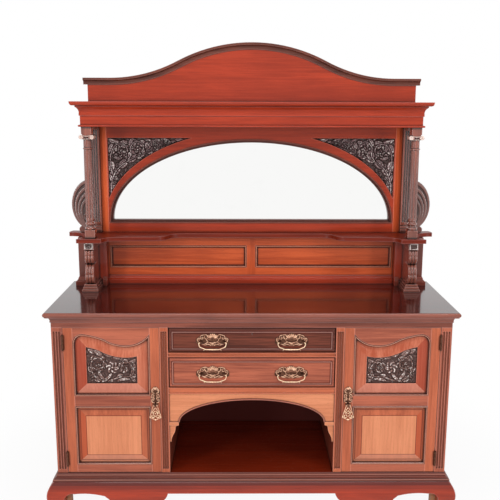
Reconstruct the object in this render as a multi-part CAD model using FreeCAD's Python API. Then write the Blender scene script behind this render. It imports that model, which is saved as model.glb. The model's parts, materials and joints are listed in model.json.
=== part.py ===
import FreeCAD, Part
import os
from math import cos, pi, sin, sqrt, tan

V = FreeCAD.Vector

# A mahogany mirror-back sideboard. Millimetres, +Z up, front towards -Y, origin on the floor
# under the middle of the whole. "out" is a distance outward from the front and the ends of the
# carcass, and "fore" is a distance forward from the back.

# Worktop and carcass
worktop_width = 1830.0
worktop_depth = 610.0
worktop_height = 960.0
worktop_thickness = 48.0
worktop_overhang = 28.0
top_rail_height = 24.0
face_board = 22.0
side_board = 20.0
back_board = 10.0
bottom_board = 20.0
outer_pilaster_width = 48.0
inner_pilaster_width = 38.0
flute_radius = 4.4
flute_end = 22.0
drawer_opening = 746.0
shelf_height = 366.0
shelf_board = 14.0
shelf_setback = 40.0
bearer = 18.0

# Plinth and base moulding
plinth_height = 161.0
plinth_bulge = 45.0
plinth_wall = 12.0
arch_height = 115.0
corner_foot_width = 79.0
outer_arch_width = 194.0
centre_arch_foot = 862.0
centre_arch_splay = 50.0
side_foot_width = 100.0
rear_board = 20.0
rear_foot_width = 110.0
plinth_block = 40.0
base_moulding_height = 36.0
base_moulding_out = 20.0

# Drawer case and kneehole
upper_drawer_height = 116.0
lower_drawer_height = 142.0
drawer_rail_height = 22.0
lower_rail_height = 30.0
rail_depth = 38.0
rail_setback = 3.0
rail_bead = 3.0
dust_board = 9.0
apron_board = 18.0
apron_setback = 5.0
apron_bead = 5.0
apron_arch_half = 331.0
apron_arch_share = 0.822
apron_share = 0.3543
impost_height = 17.0
impost_proud = 4.0
corbel_share = 0.349

# Doors
door_thickness = 22.0
door_gap = 1.5
door_setback = 2.0
stile_width = 42.0
top_rail_peak = 29.0
top_rail_dip = 81.0
mid_rail_height = 50.0
bottom_rail_height = 38.0
mid_rail_from_top = 318.0
hump_radius = 44.0
bead_width = 8.0
bead_proud = 3.0
bead_round = 2.8
panel_sunk = 10.0
panel_board = 8.0
panel_tongue = 7.0
panel_margin = 21.0
lower_bevel = 27.0
upper_bevel = 34.0
bevel_rise = 7.0
field_lip = 3.0
carving_sunk = 6.0
fitting_air = 0.3

# Hinges
hinge_length = 70.0
hinge_depth = 22.0
hinge_plate = 2.0
hinge_knuckle = 4.5
hinge_pin = 2.0
hinge_play = 0.05
hinge_ahead = 5.0
hinge_from_end = 68.0

# Drawers
drawer_front = 20.0
drawer_setback = 6.0
drawer_side = 12.0
drawer_floor = 6.0
drawer_floor_lift = 8.0
drawer_groove = 5.0
drawer_length = 490.0
drawer_side_drop = 6.0
drawer_side_air = 1.0
drawer_top_air = 1.5
running_air = 0.3
field_border = 17.0
field_rise = 8.0
field_lip_rise = 1.5

# Drawer handles
handle_from_middle = 175.0
handle_below_middle = 7.0
plate_width = 144.0
plate_height = 60.0
plate_below = 20.0
plate_thick = 2.0
boss_height = 5.0
boss_half = 24.0
boss_half_height = 11.0
post_from_middle = 50.0
post_radius = 4.0
post_reach = 12.0
eye_radius = 5.0
eye_half = 4.6
handle_rod = 2.2
pin_play = 0.08
bail_drop = 31.0
bail_past_eye = 12.0

# Door handles and locks
drop_from_top = 357.0
drop_plate_width = 42.0
drop_plate_above = 84.0
drop_plate_below = 14.0
drop_half = 26.0
drop_length = 68.0
lock_width = 34.0
lock_height = 70.0
lock_thick = 12.0
lock_above_pivot = 32.0
keyhole_radius = 2.2
keyhole_slot = 7.0
drawer_lock_width = 64.0
drawer_lock_below = 23.5

# Gallery, the lower part of the superstructure
pier_outer = 862.0
pier_inner = 722.0
pier_fore = 89.0
strip_out = 16.0
strip_height = 44.0
backing = 12.0
glass = 5.0
frame_board = 26.0
gallery_panel_low = 82.0
gallery_panel_top = 196.0
gallery_panel_half = 712.0
muntin_half = 22.0
gallery_bead = 9.0
gallery_height = 264.0
gallery_board = 20.0
gallery_half = 912.0
gallery_fore = 252.0
console_middle = 781.0
console_width = 42.0
console_block = 48.0
console_fore = 231.0
console_plinth = 78.0
console_plinth_height = 36.0
console_plinth_step = 5.0

# Columns, posts and scroll wings
column_middle = 771.0
column_fore = 213.0
column_block = 47.0
column_block_height = 41.0
column_base_height = 50.0
column_radius = 20.5
column_neck_radius = 18.5
column_ring_height = 426.0
column_neck_height = 49.0
capital_height = 18.0
volute_radius = 9.5
volute_middle = 19.5
volute_sunk = 5.0
column_flutes = 8
column_flute_radius = 5.5
post_inner = 747.0
post_width = 44.0
post_fore = 65.0
post_band = 9.0
post_band_out = 4.0
post_base_height = 36.0
wing_out = 101.0
wing_middle = 404.0
wing_half_height = 128.0
wing_board = 24.0
wing_fore = 58.0
wing_groove = 3.5
wing_grooves = 4
wing_foot_radius = 16.5
wing_foot_out = 52.0

# Mirror and its frame
sight_half = 692.0
sight_rise = 385.0
sight_low = 326.0
mirror_bead = 15.0
mirror_bead_proud = 4.0
glass_rebate = 8.0
frame_stile_inner = 714.0
band_half = 730.0
band_rise = 445.0
spandrel_top = 733.0
spandrel_side = 708.0
spandrel_board = 8.0
spandrel_sunk = 9.0
spandrel_lap = 5.0

# Canopy and pediment
canopy_height = 791.0
canopy_fore = 237.0
canopy_half = 797.0
canopy_board = 18.0
soffit_board = 14.0
frieze_height = 51.0
frieze_out = 9.0
cornice_height = 65.0
cornice_out = 40.0
cornice_top_board = 14.0
pediment_half = 756.0
pediment_end_height = 76.0
pediment_rise = 159.0
pediment_arch_half = 652.0
pediment_board = 20.0
cap_height = 30.0
cap_out = 18.0
brace_thick = 20.0
brace_depth = 90.0
brace_height = 150.0
brace_from_middle = 330.0

# Every cut runs this far past what it cuts
overrun = 20.0

# Places worked out from the sizes
overall_depth = worktop_depth + plinth_bulge - worktop_overhang
back = overall_depth / 2
nose = back - worktop_depth
face = nose + worktop_overhang
carcass_half = worktop_width / 2 - worktop_overhang
floor_top = plinth_height + base_moulding_height
worktop_low = worktop_height - worktop_thickness
opening_top = worktop_low - top_rail_height
pilaster_outer_in = carcass_half - outer_pilaster_width
pilaster_inner_in = drawer_opening / 2
pilaster_inner_out = pilaster_inner_in + inner_pilaster_width
case_half = carcass_half - side_board
inside_front = face + face_board
inside_back = back - back_board
upper_drawer_low = opening_top - upper_drawer_height
lower_drawer_top = upper_drawer_low - drawer_rail_height
lower_drawer_low = lower_drawer_top - lower_drawer_height
apron_top = lower_drawer_low - lower_rail_height
apron_height = apron_share * (apron_top - floor_top)
apron_arch_rise = apron_arch_share * apron_height
apron_spring = apron_top - apron_height
corbel_top = apron_spring - impost_height
corbel_height = corbel_share * (corbel_top - floor_top)
door_front = face + door_setback
door_back = door_front + door_thickness
door_low = floor_top + door_gap
door_top = opening_top - door_gap
door_in = pilaster_inner_out + door_gap
door_out = pilaster_outer_in - door_gap
upper_panel_low = door_top - mid_rail_from_top
lower_panel_top = upper_panel_low - mid_rail_height
panel_seat = door_front + panel_sunk
lock_x = -door_in - stile_width / 2
pivot_z = door_top - drop_from_top
lock_z = pivot_z + lock_above_pivot
frame_back = back - backing - glass
frame_front = frame_back - frame_board
gallery_top = worktop_height + gallery_height
gallery_low = gallery_top - gallery_board
canopy_low = worktop_height + canopy_height
frieze_top = canopy_low + frieze_height
cornice_top = frieze_top + cornice_height
canopy_front = back - canopy_fore

# Profiles and outlines, as shares of a width and a height. A pair of numbers is a straight
# step, and two pairs are an arc through the first to the second. The handles' corners have a
# third number, the radius of their bend.
worktop_shares = [(0.12, 0), (0.12, 0.1), ((0.3, 0.42), (0.78, 0.5)), (0.78, 0.58),
                  ((1, 0.79), (0.78, 1))]
base_shares = [(0.9, 0), (1, 0.03), (1, 0.28), (0.8, 0.31), (0.8, 0.4),
               ((0.36, 0.55), (0.28, 0.86)), (0.16, 0.9), (0.16, 1)]
ogee_shares = [(0.69, 0), ((0.565, 0.16), (0.77, 0.354)), ((1, 0.62), (0.4, 1))]
frieze_shares = [(0.5, 0), ((1, 0.09), (0.5, 0.18)), (0, 0.2), (0, 1)]
cornice_shares = [(0.1, 0), (0.1, 0.14), ((0.16, 0.42), (0.46, 0.62)), (0.46, 0.7),
                  (0.58, 0.72), ((0.88, 0.76), (0.98, 0.9)), (1, 0.9), (1, 1)]
cap_shares = [(1, 1), (1, 0.66), (0.8, 0.62), ((0.35, 0.52), (0.2, 0.18)), (0.2, 0)]
strip_shares = [(1, 0), (1, 0.5), ((0.5, 0.64), (0.3, 0.88)), (0.15, 0.92), (0.15, 1)]
arch_shares = [(0, -0.2), (0, 0.78), ((0.07, 0.93), (0.24, 0.985)), ((0.58, 1), (0.96, 0.9)),
               (1, 0.83), ((1.04, 0.78), (1.07, 0.7)), ((1.16, 0.4), (1.12, 0)), (1.12, -0.2)]
flank_shares = [(0, -0.2), (0, 0), ((0.1, 0.36), (0.44, 0.66)), ((0.75, 0.78), (1, 1))]
side_arch_shares = [(0, -0.2), (0, 0.78), ((0.05, 0.93), (0.16, 0.985)), (1, 1)]
corbel_shares = [(0, 0), (0.2, 0), ((0.24, 0.16), (0.44, 0.42)), ((0.66, 0.66), (0.72, 0.86)),
                 ((0.83, 0.95), (1, 1)), (0, 1)]
console_shares = [(0, 0), (0.62, 0), ((0.92, 0.06), (0.97, 0.24)), ((0.9, 0.42), (0.7, 0.47)),
                  (0.7, 0.51), ((0.95, 0.56), (0.97, 0.68)), ((0.93, 0.8), (0.8, 0.83)),
                  (0, 0.83)]
console_block_share = 0.83
gallery_shares = [(0, 0), (0.99, 0), ((1, 0.1), (1, 0.21)), ((0.93, 0.3), (0.896, 0.52)),
                  ((0.893, 0.76), (0.916, 1)), (0.787, 1), ((0.775, 0.87), (0.73, 0.78)),
                  ((0.62, 0.75), (0.526, 0.74)), ((0.474, 0.68), (0.449, 0.55)),
                  ((0.425, 0.41), (0.373, 0.357)), (0, 0.357)]
column_base_shares = [(0, 0), (1, 0), ((1.1, 0.14), (1, 0.28)), (0.9, 0.3),
                      ((0.82, 0.4), (0.92, 0.5)), ((1, 0.59), (0.92, 0.68)), (0.86, 0.72),
                      ((0.79, 0.82), (0.85, 0.9)), (0.85, 1), (0, 1)]
bail_plate_shares = [(0, 0.1), ((0.22, 0.03), (0.42, 0.16)), ((0.6, 0.3), (0.78, 0.2)),
                     ((0.98, 0.22), (1, 0.44)), ((0.96, 0.62), (0.8, 0.66)),
                     ((0.66, 0.66), (0.6, 0.76)), ((0.5, 0.93), (0.35, 0.84)),
                     ((0.22, 0.8), (0.16, 0.92)), ((0.09, 1), (0, 1))]
drop_plate_shares = [(0.5, 0), ((0.22, 0.03), (0.22, 0.14)), ((0.34, 0.22), (0.2, 0.3)),
                     ((0, 0.4), (0.1, 0.52)), ((0.2, 0.6), (0.1, 0.68)),
                     ((0.02, 0.8), (0.22, 0.86)), ((0.42, 0.9), (0.5, 1)),
                     ((0.64, 0.9), (0.8, 0.84)), ((0.98, 0.74), (0.86, 0.62)),
                     ((0.76, 0.54), (0.88, 0.46)), ((1, 0.34), (0.82, 0.26)),
                     ((0.68, 0.2), (0.76, 0.1))]
bail_shares = [(1, 0, 0.08), (0.93, 0.62, 0.2), (0.45, 1, 0.35)]
drop_shares = [(0.31, 0, 0.14), (1, 0.86, 0.2), (0.15, 1, 0.3)]
hump_end_share, hump_sag_share = 0.42, 0.36
dip_share, dip_sag_share, rise_sag_share = 0.7, 0.2, 0.22


def box(x0, x1, y0, y1, z0, z1):
    """Box between two corners."""
    return Part.makeBox(x1 - x0, y1 - y0, z1 - z0, V(x0, y0, z0))


def other_hand(shape):
    """The same piece for the other side of the sideboard."""
    return shape.mirror(V(0, 0, 0), V(1, 0, 0))


def pair(shape):
    return [shape, other_hand(shape)]


def joined(shapes):
    """One solid out of pieces that overlap or meet face to face."""
    return shapes[0].fuse(shapes[1:]).removeSplitter()


def moved(shape, x, y, z):
    copy = shape.copy()
    copy.translate(V(x, y, z))
    return copy


def is_arc(step):
    return isinstance(step[0], tuple)


def trace(place, points, closed=True):
    """Wire through plane points that place() sets in space."""
    edges = []
    here = points[0]
    for step in list(points[1:]) + ([points[0]] if closed else []):
        if is_arc(step):
            middle, end = step
            edges.append(Part.Arc(place(*here), place(*middle), place(*end)).toShape())
        else:
            end = step
            edges.append(Part.LineSegment(place(*here), place(*end)).toShape())
        here = end
    return Part.Wire(edges)


def fit(shares, a, a_size, b, b_size):
    """Shares laid out over a size, from the corner (a, b)."""
    def point(p):
        return (a + p[0] * a_size, b + p[1] * b_size)
    return [tuple(point(p) for p in s) if is_arc(s) else point(s) for s in shares]


def front_plane(y):
    return lambda a, b: V(a, y, b)


def side_plane(x):
    return lambda a, b: V(x, a, b)


def plan(z):
    """Plan view at a height, its second number counted forward from the back."""
    return lambda a, b: V(a, back - b, z)


def prism(place, points, vector):
    """Straight extrusion of an outline."""
    return Part.Face(trace(place, points)).extrude(vector)


def mitred(shares, out, z0, height, half, front, rear):
    """Moulded slab: at each height a rectangle that follows the profile at the front and at
    both ends, so that the mouldings meet in mitres."""
    profile = fit(shares, 0, out, z0, height)
    wide = half + out + overrun
    top, low = z0 + height, z0
    deep = profile + [(front - rear, top), (front - rear, low)]
    run = prism(lambda a, b: V(-wide, front - a, b), deep, V(2 * wide, 0, 0))
    start = front - out - overrun
    long = profile + [(-wide - half, top), (-wide - half, low)]
    end = prism(lambda a, b: V(half + a, start, b), long, V(0, rear - start, 0))
    return run.common(end).common(other_hand(end))


def moulding_round(shares, out, z0, height, half, front, rear):
    """The same moulding, planted round a core and open at the back."""
    solid = mitred(shares, out, z0, height, half, front, rear)
    core = box(-half, half, front, rear + overrun, z0 - overrun, z0 + height + overrun)
    return solid.cut(core)


def flute(x, y, z0, z1, radius):
    """Stopped flute: a round groove with rounded ends."""
    rod = Part.makeCylinder(radius, z1 - z0, V(x, y, z0))
    return rod.fuse([Part.makeSphere(radius, V(x, y, z)) for z in (z0, z1)])


def fluted(board, x, width, y, z0, z1):
    """Board with three stopped flutes in its front."""
    pitch = width / 4
    return board.cut([flute(x + k * pitch, y, z0 + flute_end, z1 - flute_end, flute_radius)
                      for k in (-1, 0, 1)])


def inset(wire, distance):
    """The outline moved inwards with sharp corners, or with a minus outwards with round ones."""
    return wire.makeOffset2D(-distance, 2 if distance > 0 else 0)


def ring(outer, width):
    """Face between an outline and its inset."""
    return Part.Face(outer).cut(Part.Face(inset(outer, width)))


def loft(low, high):
    return Part.makeLoft([low, high], True, True)


def half_ellipse(half, rise, z, y0, y1):
    """Extruded half ellipse that stands on its long axis."""
    curve = Part.ArcOfEllipse(Part.Ellipse(V(0, 0, 0), half, rise), 0, pi).toShape()
    chord = Part.LineSegment(V(-half, 0, 0), V(half, 0, 0)).toShape()
    solid = Part.Face(Part.Wire([curve, chord])).extrude(V(0, 0, y0 - y1))
    solid.rotate(V(0, 0, 0), V(1, 0, 0), 90)
    return moved(solid, 0, y0, z)


def bent(points, radii):
    """Path of straight lines, each corner bent to its own radius."""
    edges = []
    here = points[0]
    for corner, beyond, radius in zip(points[1:], points[2:], radii):
        a, b = (here - corner).normalize(), (beyond - corner).normalize()
        half_turn = a.getAngle(b) / 2
        start, end = [corner + way * (radius / tan(half_turn)) for way in (a, b)]
        middle = corner + (a + b).normalize() * (radius / sin(half_turn) - radius)
        edges += [Part.LineSegment(here, start), Part.Arc(start, middle, end)]
        here = end
    edges.append(Part.LineSegment(here, points[-1]))
    return Part.Wire([edge.toShape() for edge in edges])


def hung_rod(shares, x, y, z, half, drop, pin):
    """Handle bent from round rod, with a pin turned inwards at each end."""
    right = [(V(x + pin, y, z), 0)]
    right += [(V(x + a * half, y, z - b * drop), r * half) for a, b, r in shares]
    left = [(V(2 * x - p.x, y, p.z), r) for p, r in right]
    corners = left + right[::-1]
    path = bent([p for p, r in corners], [r for p, r in corners[1:-1]])
    section = Part.Wire(Part.makeCircle(handle_rod, corners[0][0], V(1, 0, 0)))
    return path.makePipeShell([section], True, False)


def keyhole(x, y, z, depth):
    """Round eye over a slot."""
    eye = Part.makeCylinder(keyhole_radius, depth, V(x, y, z), V(0, 1, 0))
    half = keyhole_radius / 2
    return eye.fuse(box(x - half, x + half, y, y + depth, z - keyhole_slot, z))


def left_half():
    """Everything left of the middle."""
    reach = worktop_width
    return box(-reach, 0, -reach, reach, -reach, 2 * reach)


# Plinth

def plinth():
    """Mitred plinth boards with an ogee face, cut out between their bracket feet."""
    shell = mitred(ogee_shares, plinth_bulge, 0, plinth_height, carcass_half, face, back)
    inner = carcass_half - plinth_wall
    hollow = box(-inner, inner, face + plinth_wall, back + overrun, -overrun,
                 plinth_height + overrun)
    shell = shell.cut(hollow)
    front_y = face - plinth_bulge - overrun
    through = V(0, plinth_bulge + plinth_wall + 2 * overrun, 0)
    left = corner_foot_width - carcass_half - plinth_bulge
    outer = prism(front_plane(front_y), fit(arch_shares, left, outer_arch_width, 0, arch_height),
                  through)
    flank = fit(flank_shares, -centre_arch_foot / 2, centre_arch_splay, 0, arch_height)
    centre = prism(front_plane(front_y), flank + [(0, arch_height), (0, flank[0][1])], through)
    side_low = face - plinth_bulge + side_foot_width
    side_half = (back - side_foot_width - side_low) / 2
    side_mid = side_low + side_half
    side = fit(side_arch_shares, side_low, side_half, 0, arch_height)
    end_x = carcass_half + plinth_bulge + overrun
    half_arch = prism(side_plane(-end_x), side + [(side_mid, side[0][1])], V(2 * end_x, 0, 0))
    side_arch = [half_arch, half_arch.mirror(V(0, side_mid, 0), V(0, 1, 0))]
    reach, depth = plinth_bulge + overrun, worktop_depth / 4
    wedge = prism(lambda a, b: V(a, b, -overrun),
                  [(-carcass_half - reach, face - reach), (carcass_half + reach, face - reach),
                   (carcass_half - depth, face + depth), (depth - carcass_half, face + depth)],
                  V(0, 0, plinth_height + 2 * overrun))
    front = shell.common(wedge).cut(pair(outer) + pair(centre))
    end = shell.cut(wedge).cut(side_arch).common(left_half())
    return front, end


def rear_rail():
    """Plain back board of the plinth, cut out between its feet."""
    inner = carcass_half - plinth_wall
    board = box(-inner, inner, back - rear_board, back, 0, plinth_height)
    side = fit(side_arch_shares, rear_foot_width - inner, inner - rear_foot_width, 0, arch_height)
    half_arch = prism(front_plane(back - rear_board - overrun), side + [(0, side[0][1])],
                      V(0, rear_board + 2 * overrun, 0))
    return board.cut(pair(half_arch))


def glue_blocks():
    """Blocks in the corners of the plinth and behind the inner feet."""
    inner = carcass_half - plinth_wall
    y = face + plinth_wall
    rear = back - rear_board
    foot = (centre_arch_foot / 2 + carcass_half + plinth_bulge - corner_foot_width
            - outer_arch_width) / 2
    places = ((-inner, y), (-inner, rear - plinth_block), (-foot - plinth_block / 2, y))
    blocks = []
    for x0, y0 in places:
        blocks += pair(box(x0, x0 + plinth_block, y0, y0 + plinth_block, 0, plinth_height))
    return blocks


def base():
    front, end = plinth()
    moulding = moulding_round(base_shares, base_moulding_out, plinth_height,
                              base_moulding_height, carcass_half, face, back)
    return {"plinth_front": [front], "plinth_ends": pair(end),
            "plinth_rear_rail": [rear_rail()] + glue_blocks(), "base_moulding": [moulding]}


# Carcass

def pilasters():
    """Fluted boards on the front: the outer ones are the corner posts of the carcass."""
    post = box(-carcass_half, -pilaster_outer_in, face, inside_front, plinth_height, opening_top)
    middle = -(carcass_half + pilaster_outer_in) / 2
    post = fluted(post, middle, outer_pilaster_width, face, floor_top, opening_top)
    post = post.cut(hinge_plates(-1, fitting_air))
    inner = box(-pilaster_inner_out, -pilaster_inner_in, face, inside_front, floor_top,
                opening_top)
    middle = -(pilaster_inner_in + pilaster_inner_out) / 2
    inner = fluted(inner, middle, inner_pilaster_width, face, floor_top, opening_top)
    return pair(post) + pair(inner)


def cupboard_shelves():
    """A shelf in each cupboard on two bearers."""
    low = floor_top + shelf_height
    x0, x1 = -case_half, -pilaster_inner_in - side_board
    y0 = inside_front + shelf_setback
    solids = pair(box(x0, x1, y0, inside_back, low, low + shelf_board))
    for a, b in ((x0, x0 + bearer), (x1 - bearer, x1)):
        solids += pair(box(a, b, y0, inside_back, low - bearer, low))
    return solids


def carcass():
    end = box(-carcass_half, -case_half, inside_front, back, plinth_height, worktop_low)
    inner = pilaster_inner_in
    partition = box(-inner - side_board, -inner, inside_front, inside_back, floor_top,
                    worktop_low)
    low = floor_top - bottom_board
    floor = box(-case_half, case_half, face, inside_back, low, floor_top)
    post_room = box(-carcass_half, -pilaster_outer_in, face, inside_front, 0, worktop_low)
    joint = inner + side_board / 2
    backs = [box(x0, x1, inside_back, back, low, worktop_low)
             for x0, x1 in ((-case_half, -joint), (-joint, joint), (joint, case_half))]
    rail = box(-carcass_half, carcass_half, face, inside_front, opening_top, worktop_low)
    top = mitred(worktop_shares, worktop_overhang, worktop_low, worktop_thickness, carcass_half,
                 face, back)
    return {"end_panels": pair(end), "partitions": pair(partition),
            "bottom_board": [floor.cut(pair(post_room))], "carcass_back_boards": backs,
            "pilasters": pilasters(), "top_front_rail": [rail], "worktop": [top],
            "cupboard_shelves": cupboard_shelves()}


def front_rail(z0, z1):
    """Rail between the inner pilasters, beaded along both edges."""
    half, y = pilaster_inner_in, face + rail_setback
    rail = box(-half, half, y, inside_front + rail_depth, z0, z1)
    beads = [Part.makeCylinder(rail_bead, 2 * half, V(-half, y, z), V(1, 0, 0))
             for z in (z0 + rail_bead, z1 - rail_bead)]
    return joined([rail] + beads)


def corbel():
    """Impost block with a tapering bracket under it."""
    y = face + apron_setback
    x0, x1 = -pilaster_inner_in, -apron_arch_half
    block = box(x0, x1, y - impost_proud, y + apron_board, corbel_top, apron_spring)
    tail = prism(front_plane(y), fit(corbel_shares, x0, x1 - x0 - impost_proud,
                                     corbel_top - corbel_height, corbel_height), V(0, apron_board, 0))
    return joined([block, tail])


def drawer_case():
    """Rails, dust boards, arched apron and corbels."""
    half, y = pilaster_inner_in, face + apron_setback
    rails = [front_rail(lower_drawer_top, upper_drawer_low),
             front_rail(apron_top, lower_drawer_low)]
    boards = [box(-half, half, inside_front + rail_depth, inside_back, z - dust_board, z)
              for z in (upper_drawer_low, lower_drawer_low)]
    board = box(-half, half, y, y + apron_board, apron_spring, apron_top)
    arch = half_ellipse(apron_arch_half, apron_arch_rise, apron_spring, y - overrun,
                        y + apron_board + overrun)
    outer = half_ellipse(apron_arch_half, apron_arch_rise, apron_spring, y - apron_bead,
                         y + apron_board)
    inner = half_ellipse(apron_arch_half - apron_bead, apron_arch_rise - apron_bead,
                         apron_spring, y - apron_bead - overrun, y + apron_board + overrun)
    return {"drawer_rails": rails, "dust_boards": boards,
            "arched_apron": [board.cut(arch), outer.cut(inner)], "corbels": pair(corbel())}


# Hinges of the left door, each turning about a pin ahead of the joint between door and post

hinge_x = -(pilaster_outer_in + door_out) / 2
hinge_y = face - hinge_ahead
hinge_places = (door_low + hinge_from_end, door_top - hinge_from_end)


def hinge_plates(side, air):
    """Plates of both hinges, or with air the pockets for them; side is -1 on the post and 1
    on the door."""
    near, far = side * fitting_air, side * (fitting_air + hinge_plate + air)
    y0 = hinge_y - overrun if air else hinge_y + hinge_knuckle + fitting_air
    half = hinge_length / 2 + air
    return [box(hinge_x + min(near, far), hinge_x + max(near, far), y0,
                face + hinge_depth + air, z - half, z + half) for z in hinge_places]


def hinge_half(side, z, plate):
    """One leaf: two knuckles and the pin on the post, or one knuckle on the door."""
    low, third = z - hinge_length / 2, hinge_length / 3
    spans = [(low, low + third - fitting_air),
             (low + 2 * third + fitting_air, low + hinge_length)]
    if side > 0:
        spans = [(low + third, low + 2 * third)]
    near, far = side * fitting_air, side * (fitting_air + hinge_plate)
    pieces = [plate]
    for z0, z1 in spans:
        pieces.append(Part.makeCylinder(hinge_knuckle, z1 - z0, V(hinge_x, hinge_y, z0)))
        pieces.append(box(hinge_x + min(near, far), hinge_x + max(near, far), hinge_y,
                          face + hinge_plate, z0, z1))
    if side > 0:
        bore = Part.makeCylinder(hinge_pin + hinge_play, hinge_length, V(hinge_x, hinge_y, low))
        return joined(pieces).cut(bore)
    return joined(pieces + [Part.makeCylinder(hinge_pin, hinge_length, V(hinge_x, hinge_y, low))])


def hinge_halves(side):
    return [hinge_half(side, z, plate) for z, plate in zip(hinge_places, hinge_plates(side, 0))]


# Doors, the left one; the right one is its other hand

def upper_outline():
    """Opening of the upper panel: a hump by the hinges, a dip, then a rise to a point."""
    left, right = stile_width - door_out, -door_in - stile_width
    peak, dip = door_top - top_rail_peak, door_top - top_rail_dip
    r, span = hump_radius, right - left
    bend = (left + hump_end_share * span, (peak + dip) / 2)
    bottom = (left + dip_share * span, dip)
    corner = (left + r * (1 - cos(pi / 4)), peak - r * (1 - sin(pi / 4)))
    over = ((left + r + bend[0]) / 2, peak - hump_sag_share * (peak - bend[1]))
    under = ((bend[0] + bottom[0]) / 2, dip + dip_sag_share * (bend[1] - dip))
    rise = ((bottom[0] + right) / 2, dip + rise_sag_share * (peak - dip))
    return [(left, upper_panel_low), (left, peak - r), (corner, (left + r, peak)),
            (over, bend), (under, bottom), (rise, (right, peak)), (right, upper_panel_low)]


def lower_outline():
    """Opening of the lower panel."""
    left, right = stile_width - door_out, -door_in - stile_width
    low = door_low + bottom_rail_height
    return [(left, low), (left, lower_panel_top), (right, lower_panel_top), (right, low)]


def fielded_panel(points, bevel, sink):
    """Panel with a tongue, a flat margin, a bevel and a field, the field sunk by sink."""
    edge = trace(front_plane(panel_seat), points)
    panel = Part.Face(inset(edge, -panel_tongue)).extrude(V(0, panel_board, 0))
    head = moved(inset(edge, panel_margin + bevel), 0, -bevel_rise, 0)
    panel = panel.fuse(loft(inset(edge, panel_margin), head))
    if sink:
        ground = moved(inset(edge, panel_margin + bevel + field_lip), 0, sink - bevel_rise, 0)
        panel = panel.cut(Part.Face(ground).extrude(V(0, -sink - overrun, 0)))
    return panel.removeSplitter()


def planted_bead(points, front, width, depth):
    """Bead planted inside an opening, its crest bevelled to both sides."""
    outer = trace(front_plane(front + bead_round), points)
    inner = inset(outer, width)
    crest = loft(outer, moved(inset(outer, bead_round), 0, -bead_round, 0))
    well = loft(inner, moved(inset(outer, width - bead_round), 0, -bead_round, 0))
    body = ring(outer, width).extrude(V(0, depth - bead_round, 0))
    return joined([crest.cut(well), body])


def door_frame():
    """Two stiles and three rails, grooved for the panels and cut for the lock and hinges."""
    left, right = -door_out, -door_in
    whole = box(left, right, door_front, door_back, door_low, door_top)
    through = V(0, door_thickness + 2 * overrun, 0)
    cuts = [keyhole(lock_x, door_front - overrun, lock_z, door_thickness + 2 * overrun),
            lock_case(fitting_air)] + hinge_plates(1, fitting_air)
    for points in (upper_outline(), lower_outline()):
        cuts.append(prism(front_plane(door_front - overrun), points, through))
        groove = inset(trace(front_plane(panel_seat), points), -panel_tongue)
        cuts.append(Part.Face(groove).extrude(V(0, panel_board, 0)))
    frame = whole.cut(cuts)
    stiles = [box(x, x + stile_width, door_front, door_back, door_low, door_top)
              for x in (left, right - stile_width)]
    return [frame.common(s) for s in stiles] + frame.cut(stiles).Solids


def lock_case(air):
    """Box of the door lock, let into the back of the shutting stile."""
    half = lock_height / 2 + air
    return box(-door_in - lock_width - air, -door_in + air, door_back - lock_thick - air,
               door_back + air, lock_z - half, lock_z + half)


def drop_plate():
    """Pierced backplate of the door handle, with the eye post for the drop."""
    points = fit(drop_plate_shares, lock_x - drop_plate_width / 2, drop_plate_width,
                 pivot_z - drop_plate_below, drop_plate_above + drop_plate_below)
    plate = prism(front_plane(door_front - plate_thick), points, V(0, plate_thick, 0))
    plate = plate.cut(keyhole(lock_x, door_front - overrun, lock_z, 2 * overrun))
    y = door_front - plate_thick - post_reach
    return joined([plate] + [eye_post(lock_x, y, pivot_z)])


def eye_post(x, y, z):
    """Stud with a barrel end, bored across for the pin of a handle."""
    neck = Part.makeCylinder(post_radius, post_reach, V(x, y, z), V(0, 1, 0))
    barrel = Part.makeCylinder(eye_radius, 2 * eye_half, V(x - eye_half, y, z), V(1, 0, 0))
    bore = Part.makeCylinder(handle_rod + pin_play, 4 * eye_half, V(x - 2 * eye_half, y, z),
                             V(1, 0, 0))
    return neck.fuse(barrel).cut(bore)


def drop_handle():
    """Open pear-shaped drop, its two pins in one eye."""
    y = door_front - plate_thick - post_reach
    return hung_rod(drop_shares, lock_x, y, pivot_z, drop_half, drop_length, fitting_air)


def door():
    nodes = {}
    upper, lower = upper_outline(), lower_outline()
    nodes["frame"] = door_frame()
    nodes["upper_panel"] = [fielded_panel(upper, upper_bevel, carving_sunk)]
    nodes["lower_panel"] = [fielded_panel(lower, lower_bevel, 0)]
    nodes["mouldings"] = [planted_bead(points, door_front - bead_proud, bead_width,
                                       bead_proud + panel_sunk) for points in (upper, lower)]
    nodes["lock_and_plate"] = [drop_plate(), lock_case(0).cut(
        keyhole(lock_x, door_front, lock_z, door_thickness + overrun))]
    nodes["drop_handle"] = [drop_handle()]
    nodes["hinge_leaves"] = hinge_halves(1)
    return nodes


# Drawers; each runs on the rail and the dust board under it

def drawer_front_board(z0, z1, locked):
    """Front with a raised field and a lip round it."""
    half, y = pilaster_inner_in - drawer_side_air, face + drawer_setback
    board = box(-half, half, y, y + drawer_front, z0, z1)
    foot = trace(front_plane(y), [(-half, z0), (half, z0), (half, z1), (-half, z1)])
    head = moved(inset(foot, field_border), 0, -field_rise, 0)
    lip = ring(head, field_lip).extrude(V(0, -field_lip_rise, 0))
    groove = box(drawer_side - drawer_groove - half, half - drawer_side + drawer_groove,
                 y + drawer_front - drawer_groove, y + drawer_front,
                 z0 + drawer_floor_lift, z0 + drawer_floor_lift + drawer_floor)
    front = joined([board, loft(foot, head), lip]).cut(groove)
    if locked:
        front = front.cut([keyhole(0, y - field_rise - overrun, z1 - drawer_lock_below,
                                   drawer_front + field_rise + 2 * overrun),
                           drawer_lock(z1, fitting_air)])
    return front


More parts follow.
